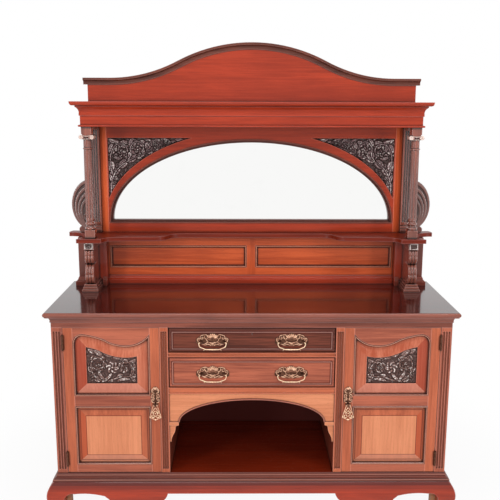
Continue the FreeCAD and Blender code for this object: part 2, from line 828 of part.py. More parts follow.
def drawer_lock(z1, air):
    """Cut lock let into the back of the upper drawer's front."""
    y1 = face + drawer_setback + drawer_front
    half = drawer_lock_width / 2 + air
    return box(-half, half, y1 - lock_thick - air, y1 + air, z1 - 2 * drawer_lock_below - air,
               z1 + air)


def drawer_box(z0, z1):
    """Two sides, a back and a bottom that sits in grooves."""
    out = pilaster_inner_in - drawer_side_air
    y0 = face + drawer_setback + drawer_front
    y1 = y0 + drawer_length
    half = out - drawer_side + drawer_groove
    low = z0 + drawer_floor_lift
    floor = box(-half, half, y0 - drawer_groove, y1, low, low + drawer_floor)
    top = z1 - drawer_side_drop
    side = box(-out, drawer_side - out, y0, y1, z0, top).cut(floor)
    rear = box(drawer_side - out, out - drawer_side, y1 - drawer_side, y1, low + drawer_floor,
               top)
    return pair(side) + [rear, floor]


def oval(x, y, z, half, half_height):
    """Lying ellipse in a front plane."""
    curve = Part.Ellipse(V(0, 0, 0), half, half_height).toShape()
    curve.rotate(V(0, 0, 0), V(1, 0, 0), 90)
    return Part.Wire(moved(curve, x, y, z))


def bail_plate(x, z):
    """Cartouche-shaped backplate with an oval boss and two eyes."""
    y = face + drawer_setback - field_rise - plate_thick
    points = fit(bail_plate_shares, x, plate_width / 2, z - plate_below, plate_height)
    half = prism(front_plane(y), points, V(0, plate_thick, 0))
    middle = z - plate_below + plate_height / 2
    boss = loft(oval(x, y, middle, boss_half, boss_half_height),
                oval(x, y - boss_height, middle, boss_half / 2, boss_half_height / 2))
    eyes = [eye_post(x + s * post_from_middle, y - post_reach, z) for s in (-1, 1)]
    return joined([half, half.mirror(V(x, 0, 0), V(1, 0, 0)), boss] + eyes)


def bail(x, z):
    """Curved handle hung from the two eyes of its plate."""
    y = face + drawer_setback - field_rise - plate_thick - post_reach
    half = post_from_middle + bail_past_eye
    return hung_rod(bail_shares, x, y, z, half, bail_drop, post_from_middle)


def drawer(low, top, locked):
    nodes = {}
    z0, z1 = low + running_air, top - drawer_top_air
    pivot = (low + top) / 2 - handle_below_middle
    nodes["front"] = [drawer_front_board(z0, z1, locked)]
    nodes["box"] = drawer_box(z0, z1)
    plates = [bail_plate(s * handle_from_middle, pivot) for s in (-1, 1)]
    if locked:
        y = face + drawer_setback
        lock = drawer_lock(z1, 0).cut(keyhole(0, y, z1 - drawer_lock_below, drawer_front))
        plates.append(lock)
    nodes["handle_plates"] = plates
    nodes["left_bail"] = [bail(-handle_from_middle, pivot)]
    nodes["right_bail"] = [bail(handle_from_middle, pivot)]
    return nodes


# Gallery: the panelled back, piers, consoles and shelf

def gallery_outline(side):
    """Opening of one of the two long panels."""
    points = [(muntin_half, worktop_height + gallery_panel_low),
              (gallery_panel_half, worktop_height + gallery_panel_low),
              (gallery_panel_half, worktop_height + gallery_panel_top),
              (muntin_half, worktop_height + gallery_panel_top)]
    return [(side * a, b) for a, b in points]


def console():
    """Scrolled bracket with a plain block over it, on a stepped plinth."""
    x, y0, y1 = -console_middle, back - pier_fore, back - console_fore
    low = worktop_height + console_plinth_height
    height = gallery_low - low
    half = console_width / 2
    scroll = prism(side_plane(x - half), fit(console_shares, y0, y1 - y0, low, height),
                   V(console_width, 0, 0))
    half = console_block / 2
    block = box(x - half, x + half, y1, y0, low + console_block_share * height, gallery_low)
    steps = []
    rise = console_plinth_height / 3
    for k in range(3):
        half = console_plinth / 2 - k * console_plinth_step
        steps.append(box(x - half, x + half, y1 + k * console_plinth_step, y0,
                         worktop_height + k * rise, worktop_height + (k + 1) * rise))
    return joined([scroll, block] + steps)


def gallery():
    nodes = {}
    low = worktop_height
    whole = box(-pier_inner, pier_inner, frame_front, frame_back, low, gallery_low)
    through = V(0, frame_board + 2 * overrun, 0)
    openings = [prism(front_plane(frame_front - overrun), gallery_outline(s), through)
                for s in (-1, 1)]
    seat = frame_front + panel_sunk
    panels = []
    for side in (-1, 1):
        edge = trace(front_plane(seat), gallery_outline(side))
        panels.append(Part.Face(inset(edge, -panel_tongue)).extrude(V(0, panel_board, 0)))
    nodes["gallery_frame"] = [whole.cut(openings + panels)]
    beads = [planted_bead(gallery_outline(s), frame_front - bead_proud, gallery_bead,
                          bead_proud + panel_sunk) for s in (-1, 1)]
    nodes["gallery_panels"] = panels + beads
    pier_front = back - pier_fore
    nodes["piers"] = pair(box(-pier_outer, -pier_inner, pier_front, back, low, gallery_low))
    bracket = console()
    nodes["consoles"] = pair(bracket)
    wrap = moulding_round(strip_shares, strip_out, low, strip_height, pier_outer, pier_front,
                          back)
    foot = console_plinth / 2
    room = box(-console_middle - foot, -console_middle + foot, pier_front - strip_out - overrun,
               pier_front, low, low + strip_height)
    side = wrap.common(left_half()).cut(box(-pier_inner, 0, -worktop_depth, back, low,
                                            gallery_low)).cut(room)
    strip = prism(lambda a, b: V(-pier_inner, frame_front - a, b),
                  [(0, low)] + fit(strip_shares, 0, strip_out, low, strip_height)
                  + [(0, low + strip_height)], V(2 * pier_inner, 0, 0))
    nodes["gallery_base_moulding"] = side.Solids + other_hand(side).Solids + [strip]
    outline = fit(gallery_shares, 0, -gallery_half, 0, gallery_fore)
    half = prism(plan(gallery_low), outline, V(0, 0, gallery_board))
    nodes["gallery_shelf"] = [joined(pair(half))]
    return nodes


# Columns, posts and wings

def column():
    """Turned column: plinth block, ringed base, fluted shaft, neck, scrolled capital, block."""
    x, y, z = -column_middle, back - column_fore, gallery_top
    half = column_block / 2
    block = box(x - half, x + half, y - half, y + half, z, z + column_block_height)
    base_z = z + column_block_height
    shaft_z = base_z + column_base_height
    ring_z = z + column_ring_height
    neck_top = ring_z + column_neck_height
    profile = fit(column_base_shares, 0, half, base_z, column_base_height)
    turned = Part.Face(trace(lambda a, b: V(a, 0, b), profile)).revolve(V(0, 0, 0), V(0, 0, 1),
                                                                        360)
    shaft = Part.makeCone(column_radius, column_neck_radius, neck_top - shaft_z,
                          V(0, 0, shaft_z))
    cuts = []
    reach = column_radius + column_flute_radius / 2
    for k in range(column_flutes):
        turn = 2 * pi * (k + 1 / 2) / column_flutes
        a, b = reach * cos(turn), reach * sin(turn)
        cuts.append(flute(a, b, shaft_z + flute_end / 2, ring_z - flute_end / 2,
                          column_flute_radius))
        cuts.append(Part.makeCylinder(column_flute_radius, column_neck_height,
                                      V(a, b, ring_z)))
    collar = Part.makeTorus(column_neck_radius, post_band_out, V(0, 0, ring_z))
    turned = turned.fuse([shaft.cut(cuts), collar])
    turned = moved(turned, x, y, 0)
    echinus = Part.makeCone(column_neck_radius, half, capital_height / 2, V(x, y, neck_top))
    scroll_z = neck_top + volute_radius - volute_sunk
    volutes = [Part.makeCylinder(volute_radius, column_block,
                                 V(x + s * volute_middle, y - half, scroll_z),
                                 V(0, 1, 0)) for s in (-1, 1)]
    top = box(x - volute_middle, x + volute_middle, y - half, y + half,
              neck_top + capital_height / 2, neck_top + capital_height)
    impost = box(x - half, x + half, y - half, y + half, neck_top + capital_height, canopy_low)
    return joined([block, turned, echinus, top, impost] + volutes)


def post():
    """Flat fluted post behind each column, banded above its base."""
    x0, x1 = -post_inner - post_width, -post_inner
    y = back - post_fore
    middle = (x0 + x1) / 2
    board = box(x0, x1, y, back, gallery_top, canopy_low)
    board = fluted(board, middle, post_width, y, gallery_top + post_base_height, canopy_low)
    bands = [box(x0, x1, y - post_band_out, y, z, z + post_band)
             for z in (gallery_top + post_base_height - 2 * post_band - post_band_out,
                       gallery_top + post_base_height - post_band)]
    return joined([board] + bands)


def wing():
    """Flat scroll on the outer side of the post, with nested grooves that meet at its foot,
    and a round foot under it on the shelf."""
    x, z = -post_inner - post_width, worktop_height + wing_middle
    y = back - wing_fore
    whole = half_disc(x, z, wing_out, wing_half_height, y, y + wing_board)
    grooves = []
    for k in range(1, wing_grooves + 1):
        share = 1 - k / (wing_grooves + 1)
        drop = wing_half_height * (1 - share) / 2
        outer = half_disc(x, z - drop, wing_out * share + wing_groove,
                          wing_half_height * share + wing_groove, y - overrun, y + wing_groove)
        inner = half_disc(x, z - drop, wing_out * share - wing_groove,
                          wing_half_height * share - wing_groove, y - 2 * overrun,
                          y + 2 * wing_groove)
        grooves.append(outer.cut(inner))
    foot = Part.makeCylinder(wing_foot_radius, wing_board,
                             V(x - wing_foot_out, y, gallery_top + wing_foot_radius),
                             V(0, 1, 0))
    return joined([whole.cut(grooves), foot])


def half_disc(x, z, out, half_height, y0, y1):
    """Left half of an ellipse, extruded from y0 to y1."""
    flat = Part.ArcOfEllipse(Part.Ellipse(V(0, 0, 0), half_height, out), 0, pi).toShape()
    chord = Part.LineSegment(V(-half_height, 0, 0), V(half_height, 0, 0)).toShape()
    solid = Part.Face(Part.Wire([flat, chord])).extrude(V(0, 0, y1 - y0))
    solid.rotate(V(0, 0, 0), V(0, 0, 1), 90)
    solid.rotate(V(0, 0, 0), V(1, 0, 0), 90)
    return moved(solid, x, y1, z)


# Mirror

def arched(grow, y0, y1):
    """Half ellipse of the mirror's sight size, grown all round."""
    half, rise = sight_half + grow, sight_rise + grow
    z = worktop_height + sight_low
    curve = half_ellipse(half, rise, z, y0, y1)
    return joined([curve, box(-half, half, y0, y1, z - grow, z)]) if grow else curve


def mirror():
    nodes = {}
    low, middle = gallery_top, worktop_height + sight_low
    y0, y1 = frame_front - overrun, back + overrun
    side = box(-post_inner, -frame_stile_inner, frame_front, frame_back, low, canopy_low)
    head = box(-frame_stile_inner, frame_stile_inner, frame_front, frame_back, low, canopy_low)
    top, inner = worktop_height + spandrel_top, spandrel_side / 3
    corner = box(-spandrel_side, -inner, y0, y1, middle, top)
    corner = corner.cut(half_ellipse(band_half, band_rise, middle, y0, y1))
    lap, seat = spandrel_lap, frame_front + spandrel_sunk
    panel = box(-spandrel_side - lap, lap - inner, seat, seat + spandrel_board, middle,
                top + lap)
    panel = panel.cut(half_ellipse(band_half - lap, band_rise - lap, middle, y0, y1))
    head = head.cut([arched(mirror_bead, y0, y1)] + pair(corner) + pair(panel))
    sill = box(-frame_stile_inner, frame_stile_inner, frame_front, frame_back, low,
               middle - mirror_bead)
    nodes["mirror_frame"] = pair(side) + [sill, head.cut(sill)]
    nodes["spandrels"] = pair(panel)
    front = frame_front - mirror_bead_proud
    step = (frame_back - front) / 4
    cuts = [arched(mirror_bead * 2 / 3, front - overrun, front + step),
            arched(mirror_bead / 3, front - overrun, front + 2 * step), arched(0, y0, y1)]
    nodes["mirror_bead"] = [arched(mirror_bead, front, frame_back).cut(cuts)]
    pane = arched(mirror_bead + glass_rebate, frame_back, frame_back + glass)
    nodes["mirror_glass"] = [pane]
    packing = box(-post_inner, post_inner, frame_back, back - backing, low, canopy_low)
    board = box(-post_inner, post_inner, back - backing, back, low, canopy_low)
    nodes["mirror_backing"] = [board, packing.cut(pane)]
    return nodes


# Canopy and pediment

def pediment_line(base):
    """Arched line of the pediment from left to right: two arcs up to the crown, two down."""
    half, bend = pediment_arch_half, pediment_arch_half / 2
    radius = (bend ** 2 + (pediment_rise / 2) ** 2) / pediment_rise
    sag = radius - sqrt(radius ** 2 - (bend / 2) ** 2)
    crown, middle = base + pediment_rise, base + pediment_rise / 2
    return [(-half, base), ((bend / 2 - half, base + sag), (-bend, middle)),
            ((-bend / 2, crown - sag), (0, crown)), ((bend / 2, crown - sag), (bend, middle)),
            ((half - bend / 2, base + sag), (half, base))]


def canopy():
    nodes = {}
    inner, side = canopy_half - canopy_board, back - canopy_board
    y = canopy_front + canopy_board
    frieze = mitred(frieze_shares, frieze_out, canopy_low, frieze_height, canopy_half,
                    canopy_front, back)
    room = box(-inner, inner, y, side, canopy_low - overrun, frieze_top + overrun)
    nodes["frieze"] = [frieze.cut(room)]
    soffit = box(-inner, inner, y, side, canopy_low, canopy_low + soffit_board)
    nodes["canopy_soffit"] = [soffit]
    cornice = mitred(cornice_shares, cornice_out, frieze_top, cornice_height, canopy_half,
                     canopy_front, back)
    hollow = box(-inner, inner, y, side, frieze_top - overrun, cornice_top - cornice_top_board)
    nodes["cornice"] = [cornice.cut(hollow)]
    base, half, y = cornice_top + pediment_end_height, pediment_half, canopy_front
    line = pediment_line(base)
    outline = [(-half, cornice_top), (-half, base)] + line + [(half, base), (half, cornice_top)]
    board = prism(front_plane(y), outline, V(0, pediment_board, 0))
    y1 = y + pediment_board
    brace = prism(side_plane(-brace_from_middle - brace_thick / 2),
                  [(y1, cornice_top), (y1 + brace_depth, cornice_top),
                   (y1, cornice_top + brace_height)], V(brace_thick, 0, 0))
    nodes["pediment_board"] = [board] + pair(brace)
    tip = pediment_half + cap_out
    path = trace(front_plane(y), [(-tip, base)] + line + [(tip, base)], closed=False)
    section = trace(side_plane(-tip), [(y1, base), (y1, base + cap_height)]
                    + fit(cap_shares, y, -cap_out, base, cap_height))
    nodes["pediment_cap"] = [path.makePipeShell([section], True, False)]
    return nodes


def write(nodes):
    """One file for each node; a node of several solids is a compound of them."""
    os.makedirs("parts", exist_ok=True)
    for name, solids in nodes.items():
        shape = solids[0] if len(solids) == 1 else Part.makeCompound(solids)
        shape.exportStep(os.path.join("parts", name + ".step"))


def sideboard():
    nodes = {}
    for section in (base, carcass, drawer_case, gallery, mirror, canopy):
        nodes.update(section())
    nodes["hinge_case_leaves"] = [s for leaf in hinge_halves(-1) for s in pair(leaf)]
    left = door()
    for name, solids in left.items():
        nodes["left_door_" + name] = solids
        nodes["right_door_" + name] = [other_hand(s) for s in solids]
    for name, low, top, locked in (("upper_drawer", upper_drawer_low, opening_top, True),
                                   ("lower_drawer", lower_drawer_low, lower_drawer_top, False)):
        for piece, solids in drawer(low, top, locked).items():
            nodes[name + "_" + piece] = solids
    nodes["columns"] = pair(column())
    nodes["posts"] = pair(post())
    nodes["scroll_wings"] = pair(wing())
    return nodes


write(sideboard())
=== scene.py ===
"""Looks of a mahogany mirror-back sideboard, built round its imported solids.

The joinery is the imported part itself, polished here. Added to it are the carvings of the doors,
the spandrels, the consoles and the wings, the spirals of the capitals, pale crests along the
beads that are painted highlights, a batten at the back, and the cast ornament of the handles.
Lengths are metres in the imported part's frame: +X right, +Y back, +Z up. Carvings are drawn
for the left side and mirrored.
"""

import json
import math

import bmesh
import bpy
import numpy as np
from mathutils import Matrix, Vector


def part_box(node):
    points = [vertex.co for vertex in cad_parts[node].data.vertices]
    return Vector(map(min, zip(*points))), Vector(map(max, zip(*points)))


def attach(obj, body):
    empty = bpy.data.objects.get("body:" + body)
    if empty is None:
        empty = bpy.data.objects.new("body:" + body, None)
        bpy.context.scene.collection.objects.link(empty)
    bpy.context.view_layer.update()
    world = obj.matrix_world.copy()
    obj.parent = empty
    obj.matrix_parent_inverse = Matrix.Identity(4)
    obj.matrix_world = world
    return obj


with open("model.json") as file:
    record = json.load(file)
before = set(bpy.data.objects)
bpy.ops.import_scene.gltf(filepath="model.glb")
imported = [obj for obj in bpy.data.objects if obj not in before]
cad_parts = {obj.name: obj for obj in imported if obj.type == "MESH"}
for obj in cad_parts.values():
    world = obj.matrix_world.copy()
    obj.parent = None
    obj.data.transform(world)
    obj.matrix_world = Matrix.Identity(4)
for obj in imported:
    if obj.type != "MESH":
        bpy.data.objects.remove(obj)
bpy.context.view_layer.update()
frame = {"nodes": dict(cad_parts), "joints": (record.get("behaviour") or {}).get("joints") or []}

bl_info = {
    "name": "Mirror-back sideboard",
    "version": (1, 0, 0),
    "blender": (4, 5, 0),
    "location": "3D View > Sidebar > Sideboard",
    "description": "Polish, carving and brasses for the packed sideboard, and its studio",
    "category": "Object",
}

JOINTS = {joint["name"]: joint for joint in frame["joints"]}
SIDES = {"left": -1, "right": 1}
LEVELS = ("upper", "lower")
CARCASS = ("carcass", "carcass")
DOORS = ("left_door", "right_door")

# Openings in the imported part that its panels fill: two distances from the middle, two heights
UPPER_PANEL = (0.4545, 0.7955, 0.5685, 0.8575)
LOWER_PANEL = (0.4545, 0.7955, 0.2365, 0.5185)
GALLERY_PANEL = (0.022, 0.712, 1.042, 1.156)
# Distances from the middle that take in every board from end to end
ALL_ACROSS = (-1.0, 5.0)
# Serpentine head of the upper door panel: the height of its dip and the radius of its hump
HEAD_DIP, HUMP = 0.8055, 0.044
# Arch over the mirror: the height it springs from, then half width and rise of its band
ARCH_FOOT, BAND_HALF, BAND_RISE = 1.286, 0.7303, 0.4453
# Thickness of the plinth's back rail, and how far the faces of the backplates lie behind the
# pivots of their handles
REAR_BOARD, PLATE_BEHIND = 0.020, 0.0117
# How far a carved slab stands clear of its ground, and how far it is let into it
CLEAR, LET_IN = 0.0003, 0.001


def tint(text):
    """Colour written as six sixteens digits, in the straight light values that Blender mixes."""
    parts = np.array([int(text[k:k + 2], 16) for k in (0, 2, 4)]) / 255
    return tuple(np.where(parts > 0.04045, ((parts + 0.055) / 1.055) ** 2.4, parts / 12.92))


def deepened(paint, share):
    """A colour at a share of its strength."""
    return tuple(share * c for c in paint)


def inset(rectangle, by):
    """A rectangle drawn in by a distance on every side."""
    left, right, low, high = rectangle
    return left + by, right - by, low + by, high - by


# Materials

def sign(operation, turned=False):
    """Method for a sign: it adds the Math node of an operation, with its sides turned if asked."""
    def method(self, other):
        return self.finish.maths(operation, *((other, self) if turned else (self, other)))
    return method


class Link:
    """A node's output. Signs between links and numbers add the Math nodes of the expression."""
    __add__, __radd__ = sign("ADD"), sign("ADD", turned=True)
    __sub__, __rsub__ = sign("SUBTRACT"), sign("SUBTRACT", turned=True)
    __mul__, __rmul__ = sign("MULTIPLY"), sign("MULTIPLY", turned=True)
    __gt__, __lt__ = sign("GREATER_THAN"), sign("LESS_THAN")

    def __init__(self, finish, socket):
        self.finish, self.socket = finish, socket


class Finish:
    """A material, or a world, in the making."""

    def __init__(self, name, kind="materials"):
        self.made = getattr(bpy.data, kind).new(name)
        self.made.use_nodes = True
        self.tree = self.made.node_tree
        self.tree.nodes.clear()

    def node(self, kind, settings=None, inputs=None, output=0):
        """Adds a node: its settings first, then the values or links of its inputs."""
        made = self.tree.nodes.new(kind)
        for key, value in (settings or {}).items():
            setattr(made, key, value)
        for key, value in (inputs or {}).items():
            if isinstance(value, Link):
                self.tree.links.new(value.socket, made.inputs[key])
            else:
                made.inputs[key].default_value = value
        return Link(self, made.outputs[output]) if len(made.outputs) else None

    def maths(self, operation, a, b=0.0):
        return self.node("ShaderNodeMath", {"operation": operation}, {0: a, 1: b})

    def mix(self, share, a, b):
        """Colour that goes from a to b as share goes from 0 to 1."""
        a, b = (paint if isinstance(paint, Link) else (*paint, 1) for paint in (a, b))
        return self.node("ShaderNodeMix", {"data_type": "RGBA"}, {0: share, 6: a, 7: b}, 2)

    def rise(self, value, low, high, top=1.0):
        """0 below low, top above high, and a smooth rise between."""
        return self.node("ShaderNodeMapRange", {"interpolation_type": "SMOOTHSTEP"},
                         {0: value, 1: low, 2: high, 3: 0.0, 4: top})

    def place(self):
        return self.node("ShaderNodeTexCoord", output="Object")

    def stretched(self, vector, scale):
        return self.node("ShaderNodeVectorMath", {"operation": "MULTIPLY"}, {0: vector, 1: scale})

    def noise(self, vector, scale, detail=3.0, roughness=0.5, distortion=0.0):
        return self.node("ShaderNodeTexNoise", {}, {
            "Vector": vector, "Scale": scale, "Detail": detail, "Roughness": roughness,
            "Distortion": distortion})

    def hollow(self, distance, samples=6):
        """How deep a spot sits in a corner or a recess, from 0 in the open to 1."""
        return 1 - self.node("ShaderNodeAmbientOcclusion", {"samples": samples},
                             {"Distance": distance}, "AO")

    def edge(self, distance):
        """How near a spot is to an outer edge of its piece, from 0 on the flat to 1."""
        return 1 - self.node("ShaderNodeAmbientOcclusion",
                             {"samples": 4, "inside": True, "only_local": True},
                             {"Distance": distance}, "AO")

    def between(self, value, low, high):
        return (value > low) * (value < high)

    def rims(self, reach, height, rectangle):
        """How far a spot lies inside a rectangle's nearer upright side and nearer level side."""
        left, right, low, high = rectangle
        return (self.maths("MINIMUM", reach - left, right - reach),
                self.maths("MINIMUM", height - low, high - height))

    def eased(self, radius):
        """Normal that rounds sharp edges off, so that they catch the light."""
        return self.node("ShaderNodeBevel", {"samples": 4}, {"Radius": radius})

    def bump(self, height, strength, distance, normal=None):
        inputs = {"Height": height, "Strength": strength, "Distance": distance}
        if normal:
            inputs["Normal"] = normal
        return self.node("ShaderNodeBump", {}, inputs)

    def seen(self):
        """1 for a ray that the camera, a reflection or clear glass looks along, and else 0."""
        camera, glossy, clear = (self.node("ShaderNodeLightPath", output=f"Is {ray} Ray")
                                 for ray in ("Camera", "Glossy", "Transmission"))
        return self.maths("MINIMUM", camera + glossy + clear, 1.0)

    def surface(self, inputs):
        shader = self.node("ShaderNodeBsdfPrincipled", {}, inputs)
        self.node("ShaderNodeOutputMaterial", {}, {"Surface": shader})
        return self.made


STRETCH = {"x": (1.1, 26, 26), "y": (26, 1.1, 26), "z": (26, 26, 1.1)}


def polished_mahogany(name, tone, grain, uprights=(), other=None, field=None, arch=None,
                      bevels=None, lines=None, gloss=0.25, wax=0.2, figure=0.5, dirt=0.9,
                      wear=0.4, soot=(0.16, 0.5)):
    """French polished mahogany in a tone, its lighter colour first: broad figure, fine streaks
    and pores along the grain, corners darkened by old wax and by painted shade, a broad painted
    shade round every hollow, and pale edges that are part use and part painted highlight.

    uprights: pairs of distances from the middle between which the grain stands upright.
    other: tone of what lies outside the uprights, the field or the arch.
    field: a rectangle of two distances from the middle and two heights.
    arch: half the width, the foot and the rise of half an ellipse.
    bevels: a rectangle and the width of the bevels along it, which meet in mitres at its
    corners. The outer one is painted deeper, as shade, and the lower one paler, as a painted
    highlight.
    lines: a rectangle and its lines, each between two distances inside its rim.
    soot: how hollow a spot is where the old wax and the painted shade of the corners begin, and
    where they are full."""
    f = Finish(name)
    place = f.place()
    across, height = (f.node("ShaderNodeSeparateXYZ", {}, {0: place}, axis) for axis in "XZ")
    reach = f.maths("ABSOLUTE", across)
    run = f.stretched(place, STRETCH[grain])
    inside = 0.0
    for low, high in uprights:
        inside = f.between(reach, low, high) + inside
    if uprights:
        upright = f.stretched(place, STRETCH["z"])
        run = f.node("ShaderNodeMix", {"data_type": "VECTOR"}, {0: inside, 4: run, 5: upright}, 1)
    if field:
        inside = f.between(reach, *field[:2]) * f.between(height, *field[2:])
    if arch:
        half, foot, rise = arch
        wide, tall = reach * (1 / half), (height - foot) * (1 / rise)
        inside = wide * wide + tall * tall < 1.0
    broad = f.noise(run, 0.55, 3.0, 0.55, 0.8)
    streak = f.noise(run, 4.5, 4.0, 0.62, 0.2)
    pores = f.rise(f.noise(run, 36.0, 2.0, 0.6), 0.6, 0.72)
    cloud = f.noise(place, 3.2, 2.0)
    figured = f.rise(broad * figure + streak * (1 - figure) + (cloud - 0.5) * 0.3, 0.34, 0.66)
    light, dark = tone
    colour = f.mix(figured, dark, light)
    if other:
        colour = f.mix(inside, f.mix(figured, other[1], other[0]), colour)
    colour = f.mix(pores * 0.35, colour, deepened(dark, 0.3))
    # Painted light on the bevels: the outer side in painted shade, the lower side with a painted
    # highlight.
    if bevels:
        *opening, wide = bevels
        beside, level = f.rims(reach, height, opening)
        outer = f.between(beside, 0.0, wide) * (beside < level) * (reach > sum(opening[:2]) / 2)
        lower = f.between(level, 0.0, wide) * (level < beside) * (height < sum(opening[2:]) / 2)
        bevel_shade = tuple(c * d for c, d in zip(dark, (0.8, 0.35, 0.2)))
        colour = f.mix(outer * 0.65, colour, bevel_shade)
        colour = f.mix(lower * 0.45, colour, tuple(min(1.0, c + 0.12) for c in light))
    # Lines inside a rectangle: the callers draw dark ones in painted shade and pale ones as painted
    # highlight.
    if lines:
        *opening, drawn = lines
        rim = f.maths("MINIMUM", *f.rims(reach, height, opening))
        for low, high, strength, paint in drawn:
            colour = f.mix(f.between(rim, low, high) * strength, colour, paint)
    # Pale edges: part use, part painted highlight.
    worn_and_lit = f.rise(f.edge(0.003), 0.08, 0.36, wear)
    # Darker hollows: within 12 mm, old wax and painted shade; within 7 cm, a broad painted shade.
    recess = f.rise(f.hollow(0.012), *soot, dirt)
    broad_shade = f.rise(f.hollow(0.07, 4), 0.12, 0.6, 0.5 * dirt)
    colour = f.mix(worn_and_lit, colour, tuple(min(1.0, 1.1 * c + 0.2) for c in light))
    colour = f.mix(broad_shade, colour, deepened(dark, 0.4))
    colour = f.mix(recess, colour, deepened(dark, 0.1))
    rough = gloss + cloud * 0.1 + pores * 0.12 + recess * 0.25
    return f.surface({"Base Color": colour, "Roughness": rough, "Specular IOR Level": 0.2,
                      "Coat Weight": wax, "Coat Roughness": 0.08,
                      "Normal": f.bump(streak * 0.5 - pores, 0.12, 0.0006, f.eased(0.0016))})


def carved_mahogany(name, crest, ground, glint, spots):
    """Carving stained nearly black in its ground, rubbed brown and glossy on its crests, darker in
    its hollows with old wax and painted shade, and pale in glints of painted highlight on the
    highest crests, in spots more broken the higher their number."""
    f = Finish(name)
    place = f.place()
    height = f.node("ShaderNodeAttribute", {"attribute_name": "relief"}, {}, "Fac")
    grain = f.noise(f.stretched(place, (60, 60, 400)), 1.0, 3.0)
    blot = f.noise(place, 95.0, 2.0)
    # Darker hollows: old wax and painted shade.
    recess = f.rise(f.hollow(0.008), 0.25, 0.7, 0.9)
    rubbed = f.rise(height + (grain - 0.5) * 0.3, 0.3, 0.85)
    # Glints: painted highlights on the highest crests, broken into spots.
    bright = f.rise(height + (blot - 0.5) * spots, 0.84, 1.02)
    colour = f.mix(rubbed, ground, crest)
    colour = f.mix(recess, colour, deepened(ground, 0.12))
    colour = f.mix(bright * 0.9, colour, glint)
    return f.surface({"Base Color": colour, "Roughness": 0.4 - rubbed * 0.2,
                      "Specular IOR Level": 0.5, "Coat Weight": rubbed * 1.2 - recess,
                      "Coat Roughness": 0.09, "Normal": f.bump(grain, 0.15, 0.0004)})


def aged_brass(name, bright, dull):
    """Cast brass, rubbed where hands touch it and brown in its hollows."""
    f = Finish(name)
    place = f.place()
    cloud = f.noise(place, 90.0, 4.0, 0.6)
    pits = f.noise(place, 900.0, 2.0)
    recess = f.rise(f.hollow(0.006), 0.25, 0.8)
    colour = f.mix(f.rise(cloud, 0.35, 0.7), bright, dull)
    colour = f.mix(recess * 0.85, colour, deepened(dull, 0.12))
    return f.surface({"Base Color": colour, "Metallic": 1.0 - recess * 0.5,
                      "Roughness": 0.24 + cloud * 0.16 + recess * 0.3,
                      "Normal": f.bump(pits, 0.15, 0.0002)})


def silvered_glass(name, silver):
    """Old plate mirror, a little cloudy in patches."""
    f = Finish(name)
    haze = f.rise(f.noise(f.place(), 9.0, 4.0, 0.6), 0.55, 0.8)
    colour = f.mix(haze * 0.06, silver, deepened(silver, 0.8))
    return f.surface({"Base Color": colour, "Metallic": 1.0, "Roughness": 0.015 + haze * 0.02})


def planed_deal(name, light, dark, stain=None, behind=0.0):
    """Unpolished softwood of the drawer boxes and the back, stained on what faces the front: all
    that lies in front of the distance behind."""
    f = Finish(name)
    place = f.place()
    run = f.stretched(place, (1.5, 1.5, 60))
    rings = f.noise(run, 1.4, 4.0, 0.55, 0.5)
    fibre = f.noise(f.stretched(place, (30, 30, 300)), 1.0, 3.0)
    colour = f.mix(f.rise(rings, 0.3, 0.7), light, dark)
    colour = f.mix(f.rise(fibre, 0.5, 0.8, 0.3), colour, deepened(dark, 0.55))
    # Painted shade: darker within 3 cm of corners and hollows.
    colour = f.mix(f.rise(f.hollow(0.03), 0.3, 0.9, 0.7), colour, deepened(dark, 0.3))
    if stain:
        depth = f.node("ShaderNodeSeparateXYZ", {}, {0: place}, "Y")
        colour = f.mix(depth < behind, colour, stain)
    return f.surface({"Base Color": colour, "Roughness": 0.62 + fibre * 0.2,
                      "Normal": f.bump(fibre, 0.25, 0.0006)})


def white_floor(name, level, near):
    """Floor that shows as white and still holds the shadow of what stands on it: close by it
    shows only the share near of the white, and more of its paint."""
    f = Finish(name)
    place = f.place()
    away = f.node("ShaderNodeVectorMath", {"operation": "LENGTH"}, {0: place}, "Value")
    white = f.rise(away, 1.0, 1.9, 1 - near) + near
    paint = f.mix(f.noise(place, 40.0, 2.0), (level,) * 3, (level * 0.985,) * 3)
    matt = f.node("ShaderNodeBsdfDiffuse", {}, {"Color": paint, "Roughness": 0.6})
    glow = f.node("ShaderNodeEmission", {}, {"Color": (1, 1, 1, 1), "Strength": 1.0})
    both = f.node("ShaderNodeMixShader", {}, {0: f.seen() * white, 1: matt, 2: glow})
    f.node("ShaderNodeOutputMaterial", {}, {"Surface": both})
    return f.made


# Shapes: each is a list of points and a list of faces, worked out as whole arrays

def sheet(grid, wrap=False):
    """Surface through a grid of points, row by row; with wrap its last column meets its first."""
    rows, columns = grid.shape[:2]
    number = np.arange(rows * columns).reshape(rows, columns)
    if wrap:
        number = np.column_stack([number, number[:, 0]])
    a, b, c, d = number[:-1, :-1], number[:-1, 1:], number[1:, 1:], number[1:, :-1]
    return grid.reshape(-1, 3), np.stack([a, b, c, d], -1).reshape(-1, 4)


def shell(front, back):
    """Closed slab between two grids of the same size: both faces and the four edges."""
    rims = [(front[0], back[0]), (front[-1], back[-1]), (front[:, 0], back[:, 0]),
            (front[:, -1], back[:, -1])]
    return gathered([sheet(front), sheet(back)] + [sheet(np.stack(rim)) for rim in rims])


def gathered(shapes):
    """Several shapes as one."""
    points, faces, count = [], [], 0
    for p, q in shapes:
        points.append(p)
        faces.append(q + count)
        count += len(p)
    return np.concatenate(points), np.concatenate(faces)


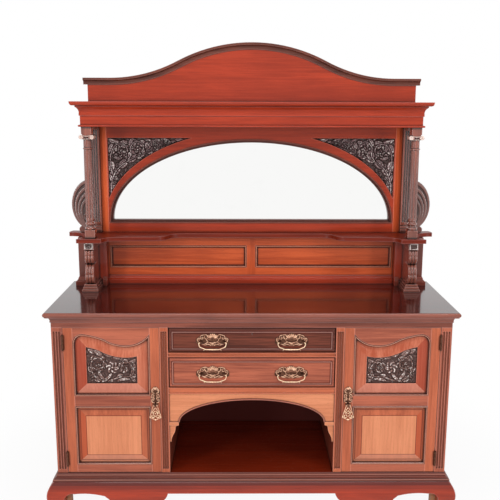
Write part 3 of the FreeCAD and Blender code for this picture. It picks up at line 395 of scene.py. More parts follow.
def smooth(points, count):
    """Curve through points: on each span the cubic whose slope at a point is half the step
    between that point's neighbours."""
    p = np.asarray(points, float)
    p = np.concatenate([[2 * p[0] - p[1]], p, [2 * p[-1] - p[-2]]])
    t = np.linspace(0, len(p) - 3 - 1e-9, count)
    k = t.astype(int)
    u = (t - k)[:, None]
    a, b, c, d = p[k], p[k + 1], p[k + 2], p[k + 3]
    return 0.5 * (2 * b + (c - a) * u + (2 * a - 5 * b + 4 * c - d) * u ** 2
                  + (3 * b - a - 3 * c + d) * u ** 3)


def arc_through(a, b, c, count=24):
    """Points on the circle from a through b to c, at equal turns."""
    a, b, c = complex(*a), complex(*b), complex(*c)
    w = (c - a) / (b - a)
    centre = a + (b - a) * (w - abs(w) ** 2) / (2j * w.imag)
    turn = [np.angle((p - centre) / (a - centre)) % (2 * np.pi) for p in (b, c)]
    sweep = turn[1] if turn[0] < turn[1] else turn[1] - 2 * np.pi
    p = centre + (a - centre) * np.exp(1j * np.linspace(0, sweep, count))
    return np.column_stack([p.real, p.imag])


def scroll(points, centre, turns):
    """Path through points that then winds about a centre: each turn keeps its direction and its
    distance from the centre shrinks evenly in proportion."""
    count, tighten = 84, 0.22
    lead = smooth(points, count // 2)
    arm = complex(*(lead[-1] - centre))
    step = complex(*(lead[-1] - lead[-2]))
    way = np.sign((np.conj(arm) * step).imag)
    t = np.linspace(0, 1, count)[1:]
    p = arm * tighten ** t * np.exp(2j * np.pi * way * turns * t)
    return np.concatenate([lead, np.column_stack([p.real, p.imag]) + centre])


def tube(path, radius, flat, sides):
    """Rod along a path: at each point a ring square to the path, an ellipse of the radius given
    there and flattened towards the viewer, with both ends closed."""
    path = np.asarray(path, float)
    radius = np.broadcast_to(radius, len(path)).astype(float)
    along = np.gradient(path, axis=0)
    along /= np.linalg.norm(along, axis=1)[:, None]
    ahead = np.array([0.0, -1.0, 0.0])
    side = np.cross(along, ahead)
    side /= np.maximum(np.linalg.norm(side, axis=1), 1e-9)[:, None]
    out = np.cross(side, along)
    turn = np.linspace(0, 2 * np.pi, sides, endpoint=False)[None, :, None]
    ring = side[:, None] * np.cos(turn) + flat * out[:, None] * np.sin(turn)
    grid = path[:, None] + ring * radius[:, None, None]
    ends = [np.repeat(path[k][None, None], sides, 1) for k in (0, -1)]
    return sheet(np.concatenate([ends[0], grid, ends[1]]), wrap=True)


def plane_rod(path, y, radius, flat=1.0, sides=10):
    """Rod along a path of distances to the right and heights, in the upright plane at y."""
    path = np.column_stack([path[:, 0], np.full(len(path), y), path[:, 1]])
    return tube(path, radius, flat, sides)


def turned(profile, base, axis, sides):
    """Turned shape: each pair of a distance along the axis and a radius is a ring round it."""
    profile = np.asarray(profile, float)
    axis = np.asarray(axis, float)
    u = np.cross(axis, (0.0, 0.0, 1.0) if abs(axis[2]) < 0.9 else (1.0, 0.0, 0.0))
    v = np.cross(axis, u)
    turn = np.linspace(0, 2 * np.pi, sides, endpoint=False)[None, :, None]
    ring = u * np.cos(turn) + v * np.sin(turn)
    return sheet(np.asarray(base) + axis * profile[:, :1, None] + ring * profile[:, 1:, None],
                 wrap=True)


def bead(centre, wide, radius, axis):
    """Half an ellipse turned round an axis through its centre."""
    a = np.linspace(-np.pi / 2, np.pi / 2, 13)
    return turned(np.column_stack([wide * np.sin(a), radius * np.cos(a)]), centre, axis, 16)


def taper(count, full, tip):
    """Widths along a path: narrow at both ends and full in the middle."""
    t = np.linspace(0, 1, count)
    return full * (tip + (1 - tip) * np.sin(np.pi * np.clip(t, 0.02, 0.98)) ** 0.6)


def dwindle(count, full, tip):
    """Widths along a path that shrink from full to a tip."""
    return full * np.linspace(1, tip, count)


def leaf(start, heading, length, bend, width, tip, top, lobes, count=26):
    """Stroke of a leaf: its path sets out in a heading and turns evenly by bend on the way."""
    angle = heading + bend * np.linspace(0, 1, count)
    step = np.column_stack([np.cos(angle), np.sin(angle)]) * length / count
    return np.asarray(start) + np.cumsum(step, 0), taper(count, width, tip), top, lobes


def leaves(path, count, length, width, height, first, last, spread, curl):
    """Pairs of leaves along a stem, one to each side, smaller towards its tip."""
    made = []
    slope = np.gradient(path, axis=0)
    for k in range(2 * count):
        along = first + (last - first) * (k // 2) / (count - 1)
        n = int(along * (len(path) - 1))
        heading = math.atan2(slope[n, 1], slope[n, 0])
        way, size = (-1) ** k, 1 - 0.45 * along
        made.append(leaf(path[n], heading + way * spread, length * size, -way * curl,
                         width * size, 0.25, height - 0.1 * (k % 2), 2))
    return made


def ground_leaves(wide, tall, step, size):
    """Small low leaves all over a ground, each turned another way."""
    return [leaf(((i + 0.3 + 0.4 * (j % 2)) * step, (j + 0.5) * step), 2.4 * i + 1.7 * j, size,
                 0.9 * (-1) ** (i + j), size * 0.2, 0.3, 0.62, 2, 14)
            for i in range(int(wide / step)) for j in range(int(tall / step))]


def flower(centre, radius, height, petals, bend=0.0):
    """Petals round a boss, each turning by bend on its way out."""
    centre = np.asarray(centre)
    made = []
    for angle in 2 * math.pi * (np.arange(petals) + 0.5) / petals:
        way = np.array([math.cos(angle), math.sin(angle)])
        made.append(leaf(centre + 0.2 * radius * way, angle, 0.8 * radius, bend, radius * 0.36,
                         0.35, height, 1, 16))
    boss = centre + np.array([[0.0, 0.0], [radius * 0.02, 0.0]])
    return made + [(boss, np.full(2, radius * 0.26), height * 1.1, 0)]


def lattice(u, v):
    """Every pair of a value of u and a value of v, as two grids."""
    return np.meshgrid(u, v, indexing="ij")


def carve(x, z, strokes):
    """Height of carved foliage at each spot. A stroke is a ridge along its path: across it the
    height follows a half circle over its own width, a leaf has a groove along its middle and
    lobes along its edge, and the ground beside a stroke is cut down, so that each stroke lies
    over those before it."""
    height = np.zeros_like(x)
    for path, width, top, lobes in strokes:
        t = np.linspace(0, 1, len(path))
        wide = width * (1 + (0.24 * np.cos(2 * np.pi * (2 * lobes + 0.5) * t) if lobes else 0))
        reach = wide.max() * 1.3
        low, high = path.min(0) - reach, path.max(0) + reach
        near = (x > low[0]) & (x < high[0]) & (z > low[1]) & (z < high[1])
        if not near.any():
            continue
        away = np.hypot(x[near][:, None] - path[:, 0], z[near][:, None] - path[:, 1]) / wide
        at = away.argmin(1)
        share = away[np.arange(len(at)), at]
        ridge = top * np.sqrt(np.clip(1 - share ** 2, 0, 1))
        if lobes:
            ridge *= 1 - 0.42 * np.exp(-(share / 0.2) ** 2)
            ridge *= 1 + 0.14 * np.cos(2 * np.pi * (2 * lobes + 0.5) * t[at] - 3 * share)
        else:
            ridge *= 1 - 0.2 * np.exp(-(share / 0.16) ** 2)
        here = height[near]
        height[near] = np.where(share < 1, np.maximum(ridge, 0.35 * here),
                                np.where(share < 1.22, 0.55 * here, here))
    return height


def added(name, data):
    """Object of some data, in the scene."""
    made = bpy.data.objects.new(name, data)
    bpy.context.scene.collection.objects.link(made)
    return made


def meshed(name, shape, material):
    """Mesh of a shape in one material."""
    points, faces = shape
    mesh = bpy.data.meshes.new(name)
    mesh.from_pydata(points.tolist(), [], faces.tolist())
    mesh.materials.append(material)
    return mesh


def piece(name, shape, body, material, relief=None):
    """Mesh object of a shape, welded, facing outwards, riding on its body."""
    mesh = meshed(name, shape, material)
    if relief is not None:
        mesh.attributes.new("relief", "FLOAT", "POINT").data.foreach_set("value", relief)
    made = added(name, mesh)
    weld(mesh)
    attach(made, body)


def weld(mesh):
    """Merges meeting points, drops faces without area and turns every face outwards."""
    work = bmesh.new()
    work.from_mesh(mesh)
    bmesh.ops.remove_doubles(work, verts=work.verts, dist=2e-6)
    bmesh.ops.dissolve_degenerate(work, edges=work.edges, dist=1e-7)
    bmesh.ops.recalc_face_normals(work, faces=work.faces)
    work.to_mesh(mesh)
    work.free()
    mesh.polygons.foreach_set("use_smooth", np.ones(len(mesh.polygons), bool))
    mesh.set_sharp_from_angle(angle=1.0)


def both_hands(name, shape, bodies, material, relief=None):
    """A piece of mahogany made for the left side and its other hand for the right."""
    points, faces = shape
    for (side, way), body in zip(SIDES.items(), bodies):
        hand = points * (-way, 1, 1), faces
        piece(f"{side}_{name}", hand, body, material, relief)


def carving(name, x, z, height, ground, bodies, material, rubbed=1.0):
    """Slab on each side that stands on a ground facing the front: its face is the ground less
    the height. The material reads the height as a share of its highest, times rubbed."""
    front = np.stack([x, ground - CLEAR - height, z], -1)
    slab = shell(front, np.stack([x, np.full_like(x, ground + LET_IN), z], -1))
    relief = np.zeros(len(slab[0]))
    relief[:height.size] = rubbed * (height / height.max()).ravel()
    both_hands(name, slab, bodies, material, relief)


def polish(nodes, material):
    """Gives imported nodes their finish."""
    for name in nodes:
        for slot in frame["nodes"][name].material_slots:
            slot.material = material


def both(name):
    return [f"{side}_{name}" for side in SIDES]


# Settings

def number(label, text, default, **more):
    return bpy.props.FloatProperty(name=label, description=text, default=default, **more)


def vector(label, text, default, **more):
    return bpy.props.FloatVectorProperty(name=label, description=text, default=default, size=3,
                                         **more)


def colour(label, text, default):
    return vector(label, text, tint(default), subtype="COLOR", min=0, max=1)


def share(label, text, default):
    return number(label, text, default, subtype="FACTOR", min=0, max=1)


def length(label, text, default):
    return number(label, text, default, unit="LENGTH")


FIGURE = {"light": "Lighter", "dark": "Darker"}
# Tones of the polish: the lighter figure, the darker one, and what they are for
TONES = {
    "red": ("B53B1D", "952D14", "the canopy and the plinth"),
    "orange": ("DD6335", "B54924", "the gallery and the mirror frame"),
    "brown": ("CE6F4B", "AA5538", "the door stiles and the end panels"),
    "rose": ("BF694E", "8E4937", "the door rails and the lower drawer"),
    "dusky": ("9E5745", "733C2F", "the columns and the consoles"),
    "umber": ("813E2E", "612A1E", "the partitions and the base moulding"),
    "pale": ("E7956C", "D4825B", "the lower panels and the corbels"),
    "deep": ("52120A", "320804", "the worktop"),
    "bevel": ("D47D5F", "B15235", "the upper door panels"),
    "moulding": ("793C2B", "481F14", "the planted mouldings and the upper drawer"),
    # The rubbed tone is a painted highlight: the near-white of the capital spirals and of the
    # painted highlight lines.
    "rubbed": ("F0CFC2", "C9917F", "the spirals of the capitals"),
}


def tone_settings():
    """Two settings for every tone: its lighter and its darker figure."""
    return {f"{tone}_{end}": colour(f"{tone.capitalize()}, {end}", f"{more} figure of {use}", paint)
            for tone, (*paints, use) in TONES.items()
            for paint, (end, more) in zip(paints, FIGURE.items())}


class SideboardTimber(bpy.types.PropertyGroup):
    __annotations__.update(tone_settings())
    crest: colour("Carving, crests", "Rubbed crests of the carving", "7A544B")
    # Glints are painted highlights.
    glint: colour("Carving, glints", "Palest spots of the carving", "F0E2DC")
    ground: colour("Carving, ground", "Stained ground of the carving", "3C241F")
    deal_light: colour("Deal, light", "Lighter rings of the drawer boxes", "CDA07A")
    deal_dark: colour("Deal, dark", "Darker rings of the drawer boxes", "A6714C")
    gloss: share("Roughness", "Roughness of the polish on plain boards", 0.25)


class SideboardFittings(bpy.types.PropertyGroup):
    bright: colour("Bright", "Brass of the parts that swing", "FBE3BE")
    brass: colour("Brass", "Rubbed brass", "F4C6A6")
    tarnish: colour("Tarnish", "Dull brass", "B47C64")
    silver: colour("Mirror", "Silvering of the mirror", "F8F8F7")
    rod: length("Rod", "Radius of the cast scrolls on the backplates", 0.0020)


class SideboardCarving(bpy.types.PropertyGroup):
    door: length("Door relief", "Height of the door carvings", 0.0078)
    spandrel: length("Spandrel relief", "Height of the spandrel carvings", 0.0105)
    reed: length("Reeds", "Height of the reeds on the consoles", 0.0042)
    rib: length("Ribs", "Height of the ribs on the wings", 0.0035)


class SideboardStudio(bpy.types.PropertyGroup):
    lens: number("Lens", "Focal length in millimetres", 53.28, unit="CAMERA")
    camera: vector("Camera", "Where the camera stands", (-0.0423, -3.4086, 1.8489),
                   subtype="TRANSLATION")
    tilt: vector("Tilt, turn and roll", "Down, to the right and anticlockwise",
                 [math.radians(a) for a in (11.021, 0.577, 0.188)], subtype="EULER")
    sky: share("Room light", "Level of the light from all round", 0.36)
    lamp: number("Lamps", "Power of the large lamps in watts", 47.0, unit="POWER")
    floor: share("Floor", "Level of the floor's paint", 0.9)


# Timber

def stiles(by):
    """Distances from the middle that the stiles of a door lie between, with by of its mouldings."""
    return (0.4, UPPER_PANEL[0] + by), (UPPER_PANEL[1] - by, 0.84)


class SIDEBOARD_OT_timber(bpy.types.Operator):
    """Polishes the joinery, each board with its own grain"""
    bl_idname = "sideboard.timber"
    bl_label = "Timber"

    def execute(self, context):
        s = context.scene.sideboard_timber
        tones = {name: tuple(tuple(getattr(s, f"{name}_{end}")) for end in FIGURE)
                 for name in TONES}
        tones["russet"] = tuple(deepened(paint, 0.48) for paint in tones["red"])
        # Colours of the painted lines: shade for painted shade, shine for painted highlight.
        shade, shine = tones["deep"][0], tones["rubbed"][1]

        def boards(name, tone, grain, nodes=None, other=None, **more):
            """Polishes the nodes given, or else the node that bears the name."""
            made = polished_mahogany(name + " mahogany", tones[tone], grain,
                                     other=tones.get(other), **{"gloss": s.gloss, **more})
            polish(nodes or [name.replace(" ", "_")], made)

        low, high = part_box("base_moulding")
        # Painted shade on the plinth: dark bands along its top under the base moulding, and the
        # same bands along its foot.
        joint = (*ALL_ACROSS, 0.0, low.z, ((0.0, 0.014, 0.85, shade), (0.014, 0.028, 0.45, shade),
                                           (0.028, 0.038, 0.2, shade)))
        boards("plinth", "red", "x", ["plinth_front"], lines=joint, gloss=0.16, wax=0.5)
        # Dark lines of painted shade at the edges and grooves of the base moulding, with a painted
        # highlight along its round.
        boards("base moulding", "umber", "x",
               lines=(*ALL_ACROSS, low.z, high.z,
                      ((0.0, 0.0030, 0.9, shade), (0.0075, 0.0110, 0.5, shine),
                       (0.0118, 0.0150, 0.8, shade))))
        boards("plinth end", "red", "y", ["plinth_ends"], lines=joint)
        # The outer pilasters are rose, the inner ones brown
        boards("pilaster", "rose", "z", ["pilasters"], "brown", uprights=((0.8, 0.9),),
               dirt=0.85, wear=0.45, soot=(0.12, 0.48))
        boards("end panel", "brown", "z", ["end_panels"])
        boards("partition", "umber", "z", ["partitions"], gloss=0.4, wax=0.05)
        boards("floor", "russet", "x", ["bottom_board"], gloss=0.15, wax=0.5)
        # The upper face of the worktop alone is deep; the lighter tone of its edges is partly a
        # painted highlight.
        boards("worktop", "deep", "x", other="dusky", field=(0.0, 2.0, 0.9595, 1.0),
               gloss=0.08, wax=0.6, dirt=0.4)
        boards("top rail", "dusky", "x", ["top_front_rail"])
        boards("drawer rail", "brown", "x", ["drawer_rails"])
        low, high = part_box("arched_apron")
        half, share_of_height = 0.331, 0.822
        boards("apron", "rose", "x", ["arched_apron"], "pale",
               arch=(half, low.z, share_of_height * (high.z - low.z)))
        boards("corbel", "pale", "x", ["corbels"])
        moulded, upper_bevel, bevel = 0.0085, 0.058, 0.048
        boards("door frame", "brown", "x", both("door_frame"), "rose", uprights=stiles(0.0))
        boards("door moulding", "moulding", "x", both("door_mouldings"), gloss=0.2, wax=0.5,
               uprights=stiles(moulded), wear=0.6)
        # Painted light on the door panels: the bevels' painted shade and painted highlight, and on
        # the lower panels dark lines of painted shade at the rims of margin and field.
        boards("upper panel", "bevel", "z", both("door_upper_panel"),
               bevels=(*UPPER_PANEL, upper_bevel))
        boards("lower panel", "pale", "z", both("door_lower_panel"), "brown",
               field=inset(LOWER_PANEL, bevel), bevels=(*LOWER_PANEL, bevel),
               lines=(*LOWER_PANEL, ((0.017, 0.021, 0.7, shade), (0.0445, bevel, 0.6, shade))))
        # On the drawers: a dark line of painted shade at the rim, and round the field two dark
        # lines of painted shade about a painted highlight.
        for level, tone in (("upper", "moulding"), ("lower", "rose")):
            low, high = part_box(level + "_drawer_front")
            boards(level + " drawer", tone, "x", [level + "_drawer_front"], figure=0.3, wax=0.1,
                   lines=(ALL_ACROSS[0], high.x, low.z, high.z,
                          ((0.0, 0.004, 0.7, shade), (0.0125, 0.0170, 0.85, shade),
                           (0.0170, 0.0200, 0.55, shine), (0.0200, 0.0250, 0.7, shade))))
        boards("gallery frame", "orange", "x",
               uprights=((0.0, GALLERY_PANEL[0]), (GALLERY_PANEL[1], 0.73)))
        boards("gallery panel", "orange", "x", ["gallery_panels"], "moulding", wear=0.8,
               field=inset(GALLERY_PANEL, 0.014))
        # Beyond the gallery its foot is umber, and so are the outer faces of the piers: a painted
        # sheen, browner than the red, on those sides.
        boards("gallery foot", "red", "x", ["gallery_base_moulding"], "umber",
               field=(0.0, 0.7225, 0.95, 1.0))
        boards("gallery shelf", "russet", "x", gloss=0.3, wax=0.05, wear=0.5, figure=0.3)
        boards("pier", "red", "z", ["piers"], "umber", wax=0.6, field=(0.0, 0.803, 0.0, 3.0))
        boards("console", "dusky", "z", ["consoles"], gloss=0.12, wax=1.0, wear=1.0)
        # Dark flutes: old wax and painted shade, full from the shallowest hollows; pale arrises:
        # part use, part painted highlight.
        boards("column", "dusky", "z", ["columns", "posts"], gloss=0.14, wax=1.0, wear=0.9,
               dirt=1.0, soot=(0.03, 0.26))
        boards("wing", "umber", "z", ["scroll_wings"], wax=0.8, wear=0.7)
        # Near-white spirals of the capitals: a painted highlight.
        polished_mahogany("rubbed mahogany", tones["rubbed"], "x", gloss=0.12, wax=1.0)
        # Pale rods on the crests of the beads: painted highlight lines.
        polished_mahogany("crest mahogany", tones["pale"], "x", gloss=0.12, wax=0.8)
        boards("mirror frame", "orange", "x", other="red", uprights=((0.714, 0.75),))
        boards("mirror bead", "umber", "x", wax=0.1, wear=0.2)
        boards("spandrel", "moulding", "x", ["spandrels"], gloss=0.3)
        boards("frieze", "red", "x")
        boards("cornice", "red", "x")
        boards("soffit", "deep", "x", ["canopy_soffit"])
        boards("pediment", "red", "x", ["pediment_board"])
        boards("pediment cap", "moulding", "x", gloss=0.18, wax=0.3)
        deal = tuple(s.deal_light), tuple(s.deal_dark)
        polish(["dust_boards", "cupboard_shelves", "plinth_rear_rail", "mirror_backing",
                "upper_drawer_box", "lower_drawer_box"], planed_deal("deal", *deal))
        rear_face = 0.313
        polish(["carcass_back_boards"],
               planed_deal("back boards", *deal, tuple(s.deep_light), rear_face))
        return {"FINISHED"}


class SIDEBOARD_OT_fittings(bpy.types.Operator):
    """Gives the brass fittings and the mirror their finish"""
    bl_idname = "sideboard.fittings"
    bl_label = "Brass and mirror"

    def execute(self, context):
        s = context.scene.sideboard_fittings
        brass = aged_brass("rubbed brass", tuple(s.brass), tuple(s.tarnish))
        bright = aged_brass("bright brass", tuple(s.bright), tuple(s.brass))
        dull = aged_brass("dull brass", deepened(s.tarnish, 0.36), deepened(s.tarnish, 0.14))
        polish(both("door_drop_handle"), brass)
        polish([f"{level}_drawer_{side}_bail" for level in LEVELS for side in SIDES], bright)
        polish(["hinge_case_leaves"] + both("door_hinge_leaves") + both("door_lock_and_plate")
               + [level + "_drawer_handle_plates" for level in LEVELS], dull)
        polish(["mirror_glass"], silvered_glass("silvered glass", tuple(s.silver)))
        return {"FINISHED"}


# Carving

def carving_finish(context, place, ground, crest=(1.0, 1.0, 1.0), spots=1.6):
    """Finish of the carvings of one place, with the ground and the crests at shares of the
    settings' own."""
    s = context.scene.sideboard_timber
    return carved_mahogany(place + " carving", tuple(a * c for a, c in zip(crest, s.crest)),
                           deepened(s.ground, ground), tuple(s.glint), spots)


def door_foliage():
    """Strokes of the left door's carving, in metres from the lower outer corner of its field:
    two stems from below the flower that wind inwards, their leaves, and a flower between. A
    single leaf is given by its start, its heading, its length and its bend."""
    strokes = ground_leaves(0.225, 0.175, 0.0150, 0.020)
    strokes += [leaf((.004 + .003 * k, .066 - .011 * k), 0.75, .030, -0.5, .0042, 0.3, 0.85, 1)
                for k in range(6)]
    strokes += [leaf(start, heading, size, bend, size * 0.26, 0.25, 0.85, 3)
                for start, heading, size, bend in (
                    ((.214, .008), 2.4, .034, -0.8), ((.010, .160), -0.9, .042, 1.0),
                    ((.034, .152), -0.3, .044, -0.9), ((.084, .136), -0.5, .040, 1.1),
                    ((.118, .116), 0.5, .036, -1.2), ((.150, .110), 0.2, .034, 1.0),
                    ((.218, .112), -2.2, .036, -1.0), ((.216, .070), -2.5, .034, 0.9))]
    eyes = (.054, .088), (.172, .076)
    left = scroll([(.112, .012), (.078, .010), (.044, .024), (.020, .062), (.024, .104),
                   (.048, .120)], eyes[0], 1.3)
    right = scroll([(.084, .008), (.120, .020), (.150, .030), (.196, .034), (.208, .066),
                    (.192, .094)], eyes[1], 1.3)
    for stem in (left, right):
        strokes += leaves(stem, 7, 0.034, 0.0075, 1.0, 0.10, 0.62, 0.8, 1.5)
        strokes.append((stem, dwindle(len(stem), 0.0040, 0.5), 0.95, 0))
    strokes += [leaf(*sprig, .0075, 0.2, 1.0, 4) for sprig in (
        ((.060, .006), 0.3, .074, 0.9), ((.130, .008), 0.5, .062, -0.6),
        ((.080, .016), 2.6, .050, -0.9), ((.160, .050), 0.4, .040, 1.2))]
    for eye in eyes:
        strokes += flower(eye, .0120, 0.95, 5, 0.8)
    return strokes + flower((.114, .074), .0270, 1.0, 6, 1.3)


def panel_head(x, by):
    """Height of the serpentine head of the upper door panel over x, drawn in by a distance: the
    lowest of the circles of that radius drawn about every point of the head."""
    left, right, peak, dip, r = -UPPER_PANEL[1], -UPPER_PANEL[0], UPPER_PANEL[3], HEAD_DIP, HUMP
    span = right - left
    bend = (left + 0.42 * span, (peak + dip) / 2)
    low = (left + 0.7 * span, dip)
    line = np.concatenate([
        arc_through((left, peak - r), (left + r * 0.2929, peak - r * 0.2929), (left + r, peak)),
        arc_through((left + r, peak), ((left + r + bend[0]) / 2,
                                       peak - 0.36 * (peak - bend[1])), bend, 60),
        arc_through(bend, ((bend[0] + low[0]) / 2, dip + 0.2 * (bend[1] - dip)), low, 60),
        arc_through(low, ((low[0] + right) / 2, dip + 0.22 * (peak - dip)), (right, peak), 60)])
    away = x.ravel()[:, None] - line[:, 0]
    under = line[:, 1] - np.sqrt(np.clip(by ** 2 - away ** 2, 0, None))
    return np.where(np.abs(away) < by, under, 9).min(1).reshape(x.shape)


class SIDEBOARD_OT_door_carvings(bpy.types.Operator):
    """Carves foliage round a flower in the upper panel of each door"""
    bl_idname = "sideboard.door_carvings"
    bl_label = "Door carvings"

    def execute(self, context):
        low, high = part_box("left_door_upper_panel")
        tongue_and_bevel, below_head, fade, ground = 0.0655, 0.0585, 0.002, -0.2575
        x0, x1, z0 = (low.x + tongue_and_bevel, high.x - tongue_and_bevel,
                      low.z + tongue_and_bevel)
        u, v = lattice(np.linspace(0, 1, 226), np.linspace(0, 1, 150))
        x = x0 + u * (x1 - x0)
        z = z0 + v * (panel_head(x, below_head) - z0)
        height = carve(x - x0, z - z0, door_foliage())
        rim = np.minimum.reduce([x - x0, x1 - x, z - z0, (1 - v) * (z.max(1)[:, None] - z0)])
        height *= np.clip(rim / fade, 0, 1) * context.scene.sideboard_carving.door
        carving("door_carving", x, z, height, ground, DOORS,
                carving_finish(context, "door", 1.6, (1.1, 1.05, 1.0)))
        return {"FINISHED"}


def spandrel_foliage():
    """Strokes of the left spandrel, in metres to the right and down from its upper corner: a
    stem along the arch with scrolls curling off it into the corner, and leaves on them all."""
    main = smooth([(.010, .275), (.016, .215), (.040, .160), (.090, .118), (.150, .088),
                   (.220, .058), (.300, .030), (.392, .010)], 90)
    scrolls = [scroll([(.024, .190), (.012, .140), (.014, .080), (.040, .034), (.076, .030)],
                      (.066, .066), 1.4),
               scroll([(.090, .118), (.112, .086), (.112, .044), (.140, .016), (.170, .026)],
                      (.148, .050), 1.4),
               scroll([(.190, .070), (.200, .036), (.222, .012), (.246, .020)],
                      (.232, .036), 1.2),
               scroll([(.016, .215), (.040, .196), (.056, .206)], (.042, .218), 1.1),
               scroll([(.262, .040), (.276, .016), (.296, .012)], (.290, .024), 1.0)]
    strokes = ground_leaves(0.41, 0.29, 0.0200, 0.028)
    strokes += leaves(main, 10, 0.074, 0.0120, 0.9, 0.02, 0.97, 0.6, 1.2)
    strokes += [leaf(start, heading, size, bend, size * 0.2, 0.2, 0.9, 4)
                for start, heading, size, bend in (
                    ((.006, .006), 0.6, .076, -0.5), ((.004, .020), 1.4, .070, 0.5),
                    ((.092, .006), 0.3, .056, 0.9), ((.180, .006), 0.2, .056, 0.8),
                    ((.262, .006), 0.1, .050, 0.4), ((.330, .006), 0.1, .050, 0.2),
                    ((.006, .120), 1.2, .060, -0.6), ((.006, .180), 1.3, .056, -0.5))]
    for stem, n, size in zip(scrolls, (6, 6, 4, 3, 3), (.058, .050, .040, .028, .024)):
        strokes += leaves(stem, n, size, size * 0.21, 1.0, 0.05, 0.66, 0.8, 1.5)
        strokes.append((stem, dwindle(len(stem), size * 0.08, 0.5), 0.9, 0))
    strokes.append((main, dwindle(len(main), 0.0046, 0.5), 0.95, 0))
    for stem, size in zip(scrolls, (.019, .017, .012, .008, .007)):
        strokes += flower(stem[-1], size, 1.0, 5, 0.9)
    return strokes


class SIDEBOARD_OT_spandrel_carvings(bpy.types.Operator):
    """Carves scrolled foliage in the two corners over the mirror"""
    bl_idname = "sideboard.spandrel_carvings"
    bl_label = "Spandrel carvings"

    def execute(self, context):
        left, top, tip, fade, ground = -0.7077, 1.6927, -0.2965, 0.003, 0.2795
        u, v = lattice(np.linspace(0, 1, 250) ** 1.5, np.linspace(0, 1, 150))
        x = left + u * (tip - left)
        arch = ARCH_FOOT + BAND_RISE * np.sqrt(1 - (x / BAND_HALF) ** 2)
        z = arch + v * (top - arch)
        height = carve(x - left, top - z, spandrel_foliage())
        rim = np.minimum.reduce([x - left, top - z, (z - arch) * 0.8])
        height *= np.clip(rim / fade, 0, 1) * context.scene.sideboard_carving.spandrel
        # Crests raised towards grey-blue: a painted sheen of the pale room.
        carving("spandrel_carving", x, z, height, ground, CARCASS,
                carving_finish(context, "spandrel", 0.9, (1.6, 2.1, 2.7), 1.7))
        return {"FINISHED"}


class SIDEBOARD_OT_console_carvings(bpy.types.Operator):
    """Cuts reeds down the scrolls of the consoles, ties them and sets a flower over them"""
    bl_idname = "sideboard.console_carvings"
    bl_label = "Console carvings"

    def execute(self, context):
        reed = context.scene.sideboard_carving.reed
        back, deep, foot, tall, middle, half = 0.2245, -0.142, 0.996, 0.208, -0.781, 0.021
        runs = [[(0.62, 0.0), (0.92, 0.06), (0.97, 0.24)], [(0.97, 0.24), (0.9, 0.42), (0.7, 0.47)],
                [(0.7, 0.51), (0.95, 0.56), (0.97, 0.68)], [(0.97, 0.68), (0.93, 0.8), (0.8, 0.83)]]
        arcs = [arc_through(*[(back + a * deep, foot + b * tall) for a, b in run], 40)
                for run in runs]
        across = np.linspace(-1, 1, 61)
        aside = across * 3 - 2 * np.round(across * 1.5)
        round_top = np.sqrt(np.clip(1 - aside ** 2, 0, 1))
        shapes = []
        for first, second in (arcs[:2], arcs[2:]):
            line = np.concatenate([first, second[1:]])
            slope = np.gradient(line, axis=0)
            slope /= np.linalg.norm(slope, axis=1)[:, None]
            out = np.column_stack([-slope[:, 1], slope[:, 0]])
            steps = np.arange(len(line))
            ends = np.clip(np.minimum(steps, steps[::-1]) / 8, 0, 1)
            rise = 0.0002 + reed * round_top[None] * np.sqrt(ends)[:, None]
            x = np.broadcast_to(middle + across * half, rise.shape)
            face = line[:, None] + out[:, None] * rise[..., None]
            under = np.broadcast_to((line - out * LET_IN)[:, None], face.shape)
            shapes.append(shell(*(np.stack([x, side[..., 0], side[..., 1]], -1)
                                  for side in (face, under))))
        tie = np.column_stack([middle + np.linspace(-1, 1, 40) * (half + 0.001),
                               np.full(40, foot + 0.49 * tall)])
        shapes += [plane_rod(tie + (0, k * 0.0036), back + 0.7 * deep, r, reach, 20)
                   for k, r, reach in ((-1, 0.0022, 8.5), (0, 0.0030, 7.5), (1, 0.0022, 8.5))]
        both_hands("console_reeds", gathered(shapes), CARCASS,
                   bpy.data.materials["console mahogany"])
        carving("console_flower", *self.block_flower(middle, foot + 0.915 * tall), back + deep,
                CARCASS, carving_finish(context, "console", 1.0))
        return {"FINISHED"}

    def block_flower(self, middle, centre):
        """A four-leaved flower in the face of the console's square block."""
        half_wide, half_tall, frame_height, frame_from = 0.0205, 0.0145, 0.0036, 0.76
        u, v = lattice(np.linspace(-1, 1, 60), np.linspace(-1, 1, 50))
        x, z = u * half_wide, v * half_tall
        strokes = [leaf((0.0, 0.0), math.atan2(b, a), 0.021, 0.3, 0.0052, 0.3, 1.0, 2)
                   for a, b in ((1, .66), (-1, .66), (1, -.66), (-1, -.66))]
        strokes += flower((0.0, 0.0), 0.0075, 1.1, 5)
        height = carve(x, z, strokes) * 0.0022
        edge = np.maximum(np.abs(u), np.abs(v))
        # The frame stands highest, so that it takes the pale glints of painted highlight.
        height = np.where(edge > frame_from, frame_height, height)
        return x + middle, z + centre, height * np.clip((1 - edge) / 0.03, 0, 1)


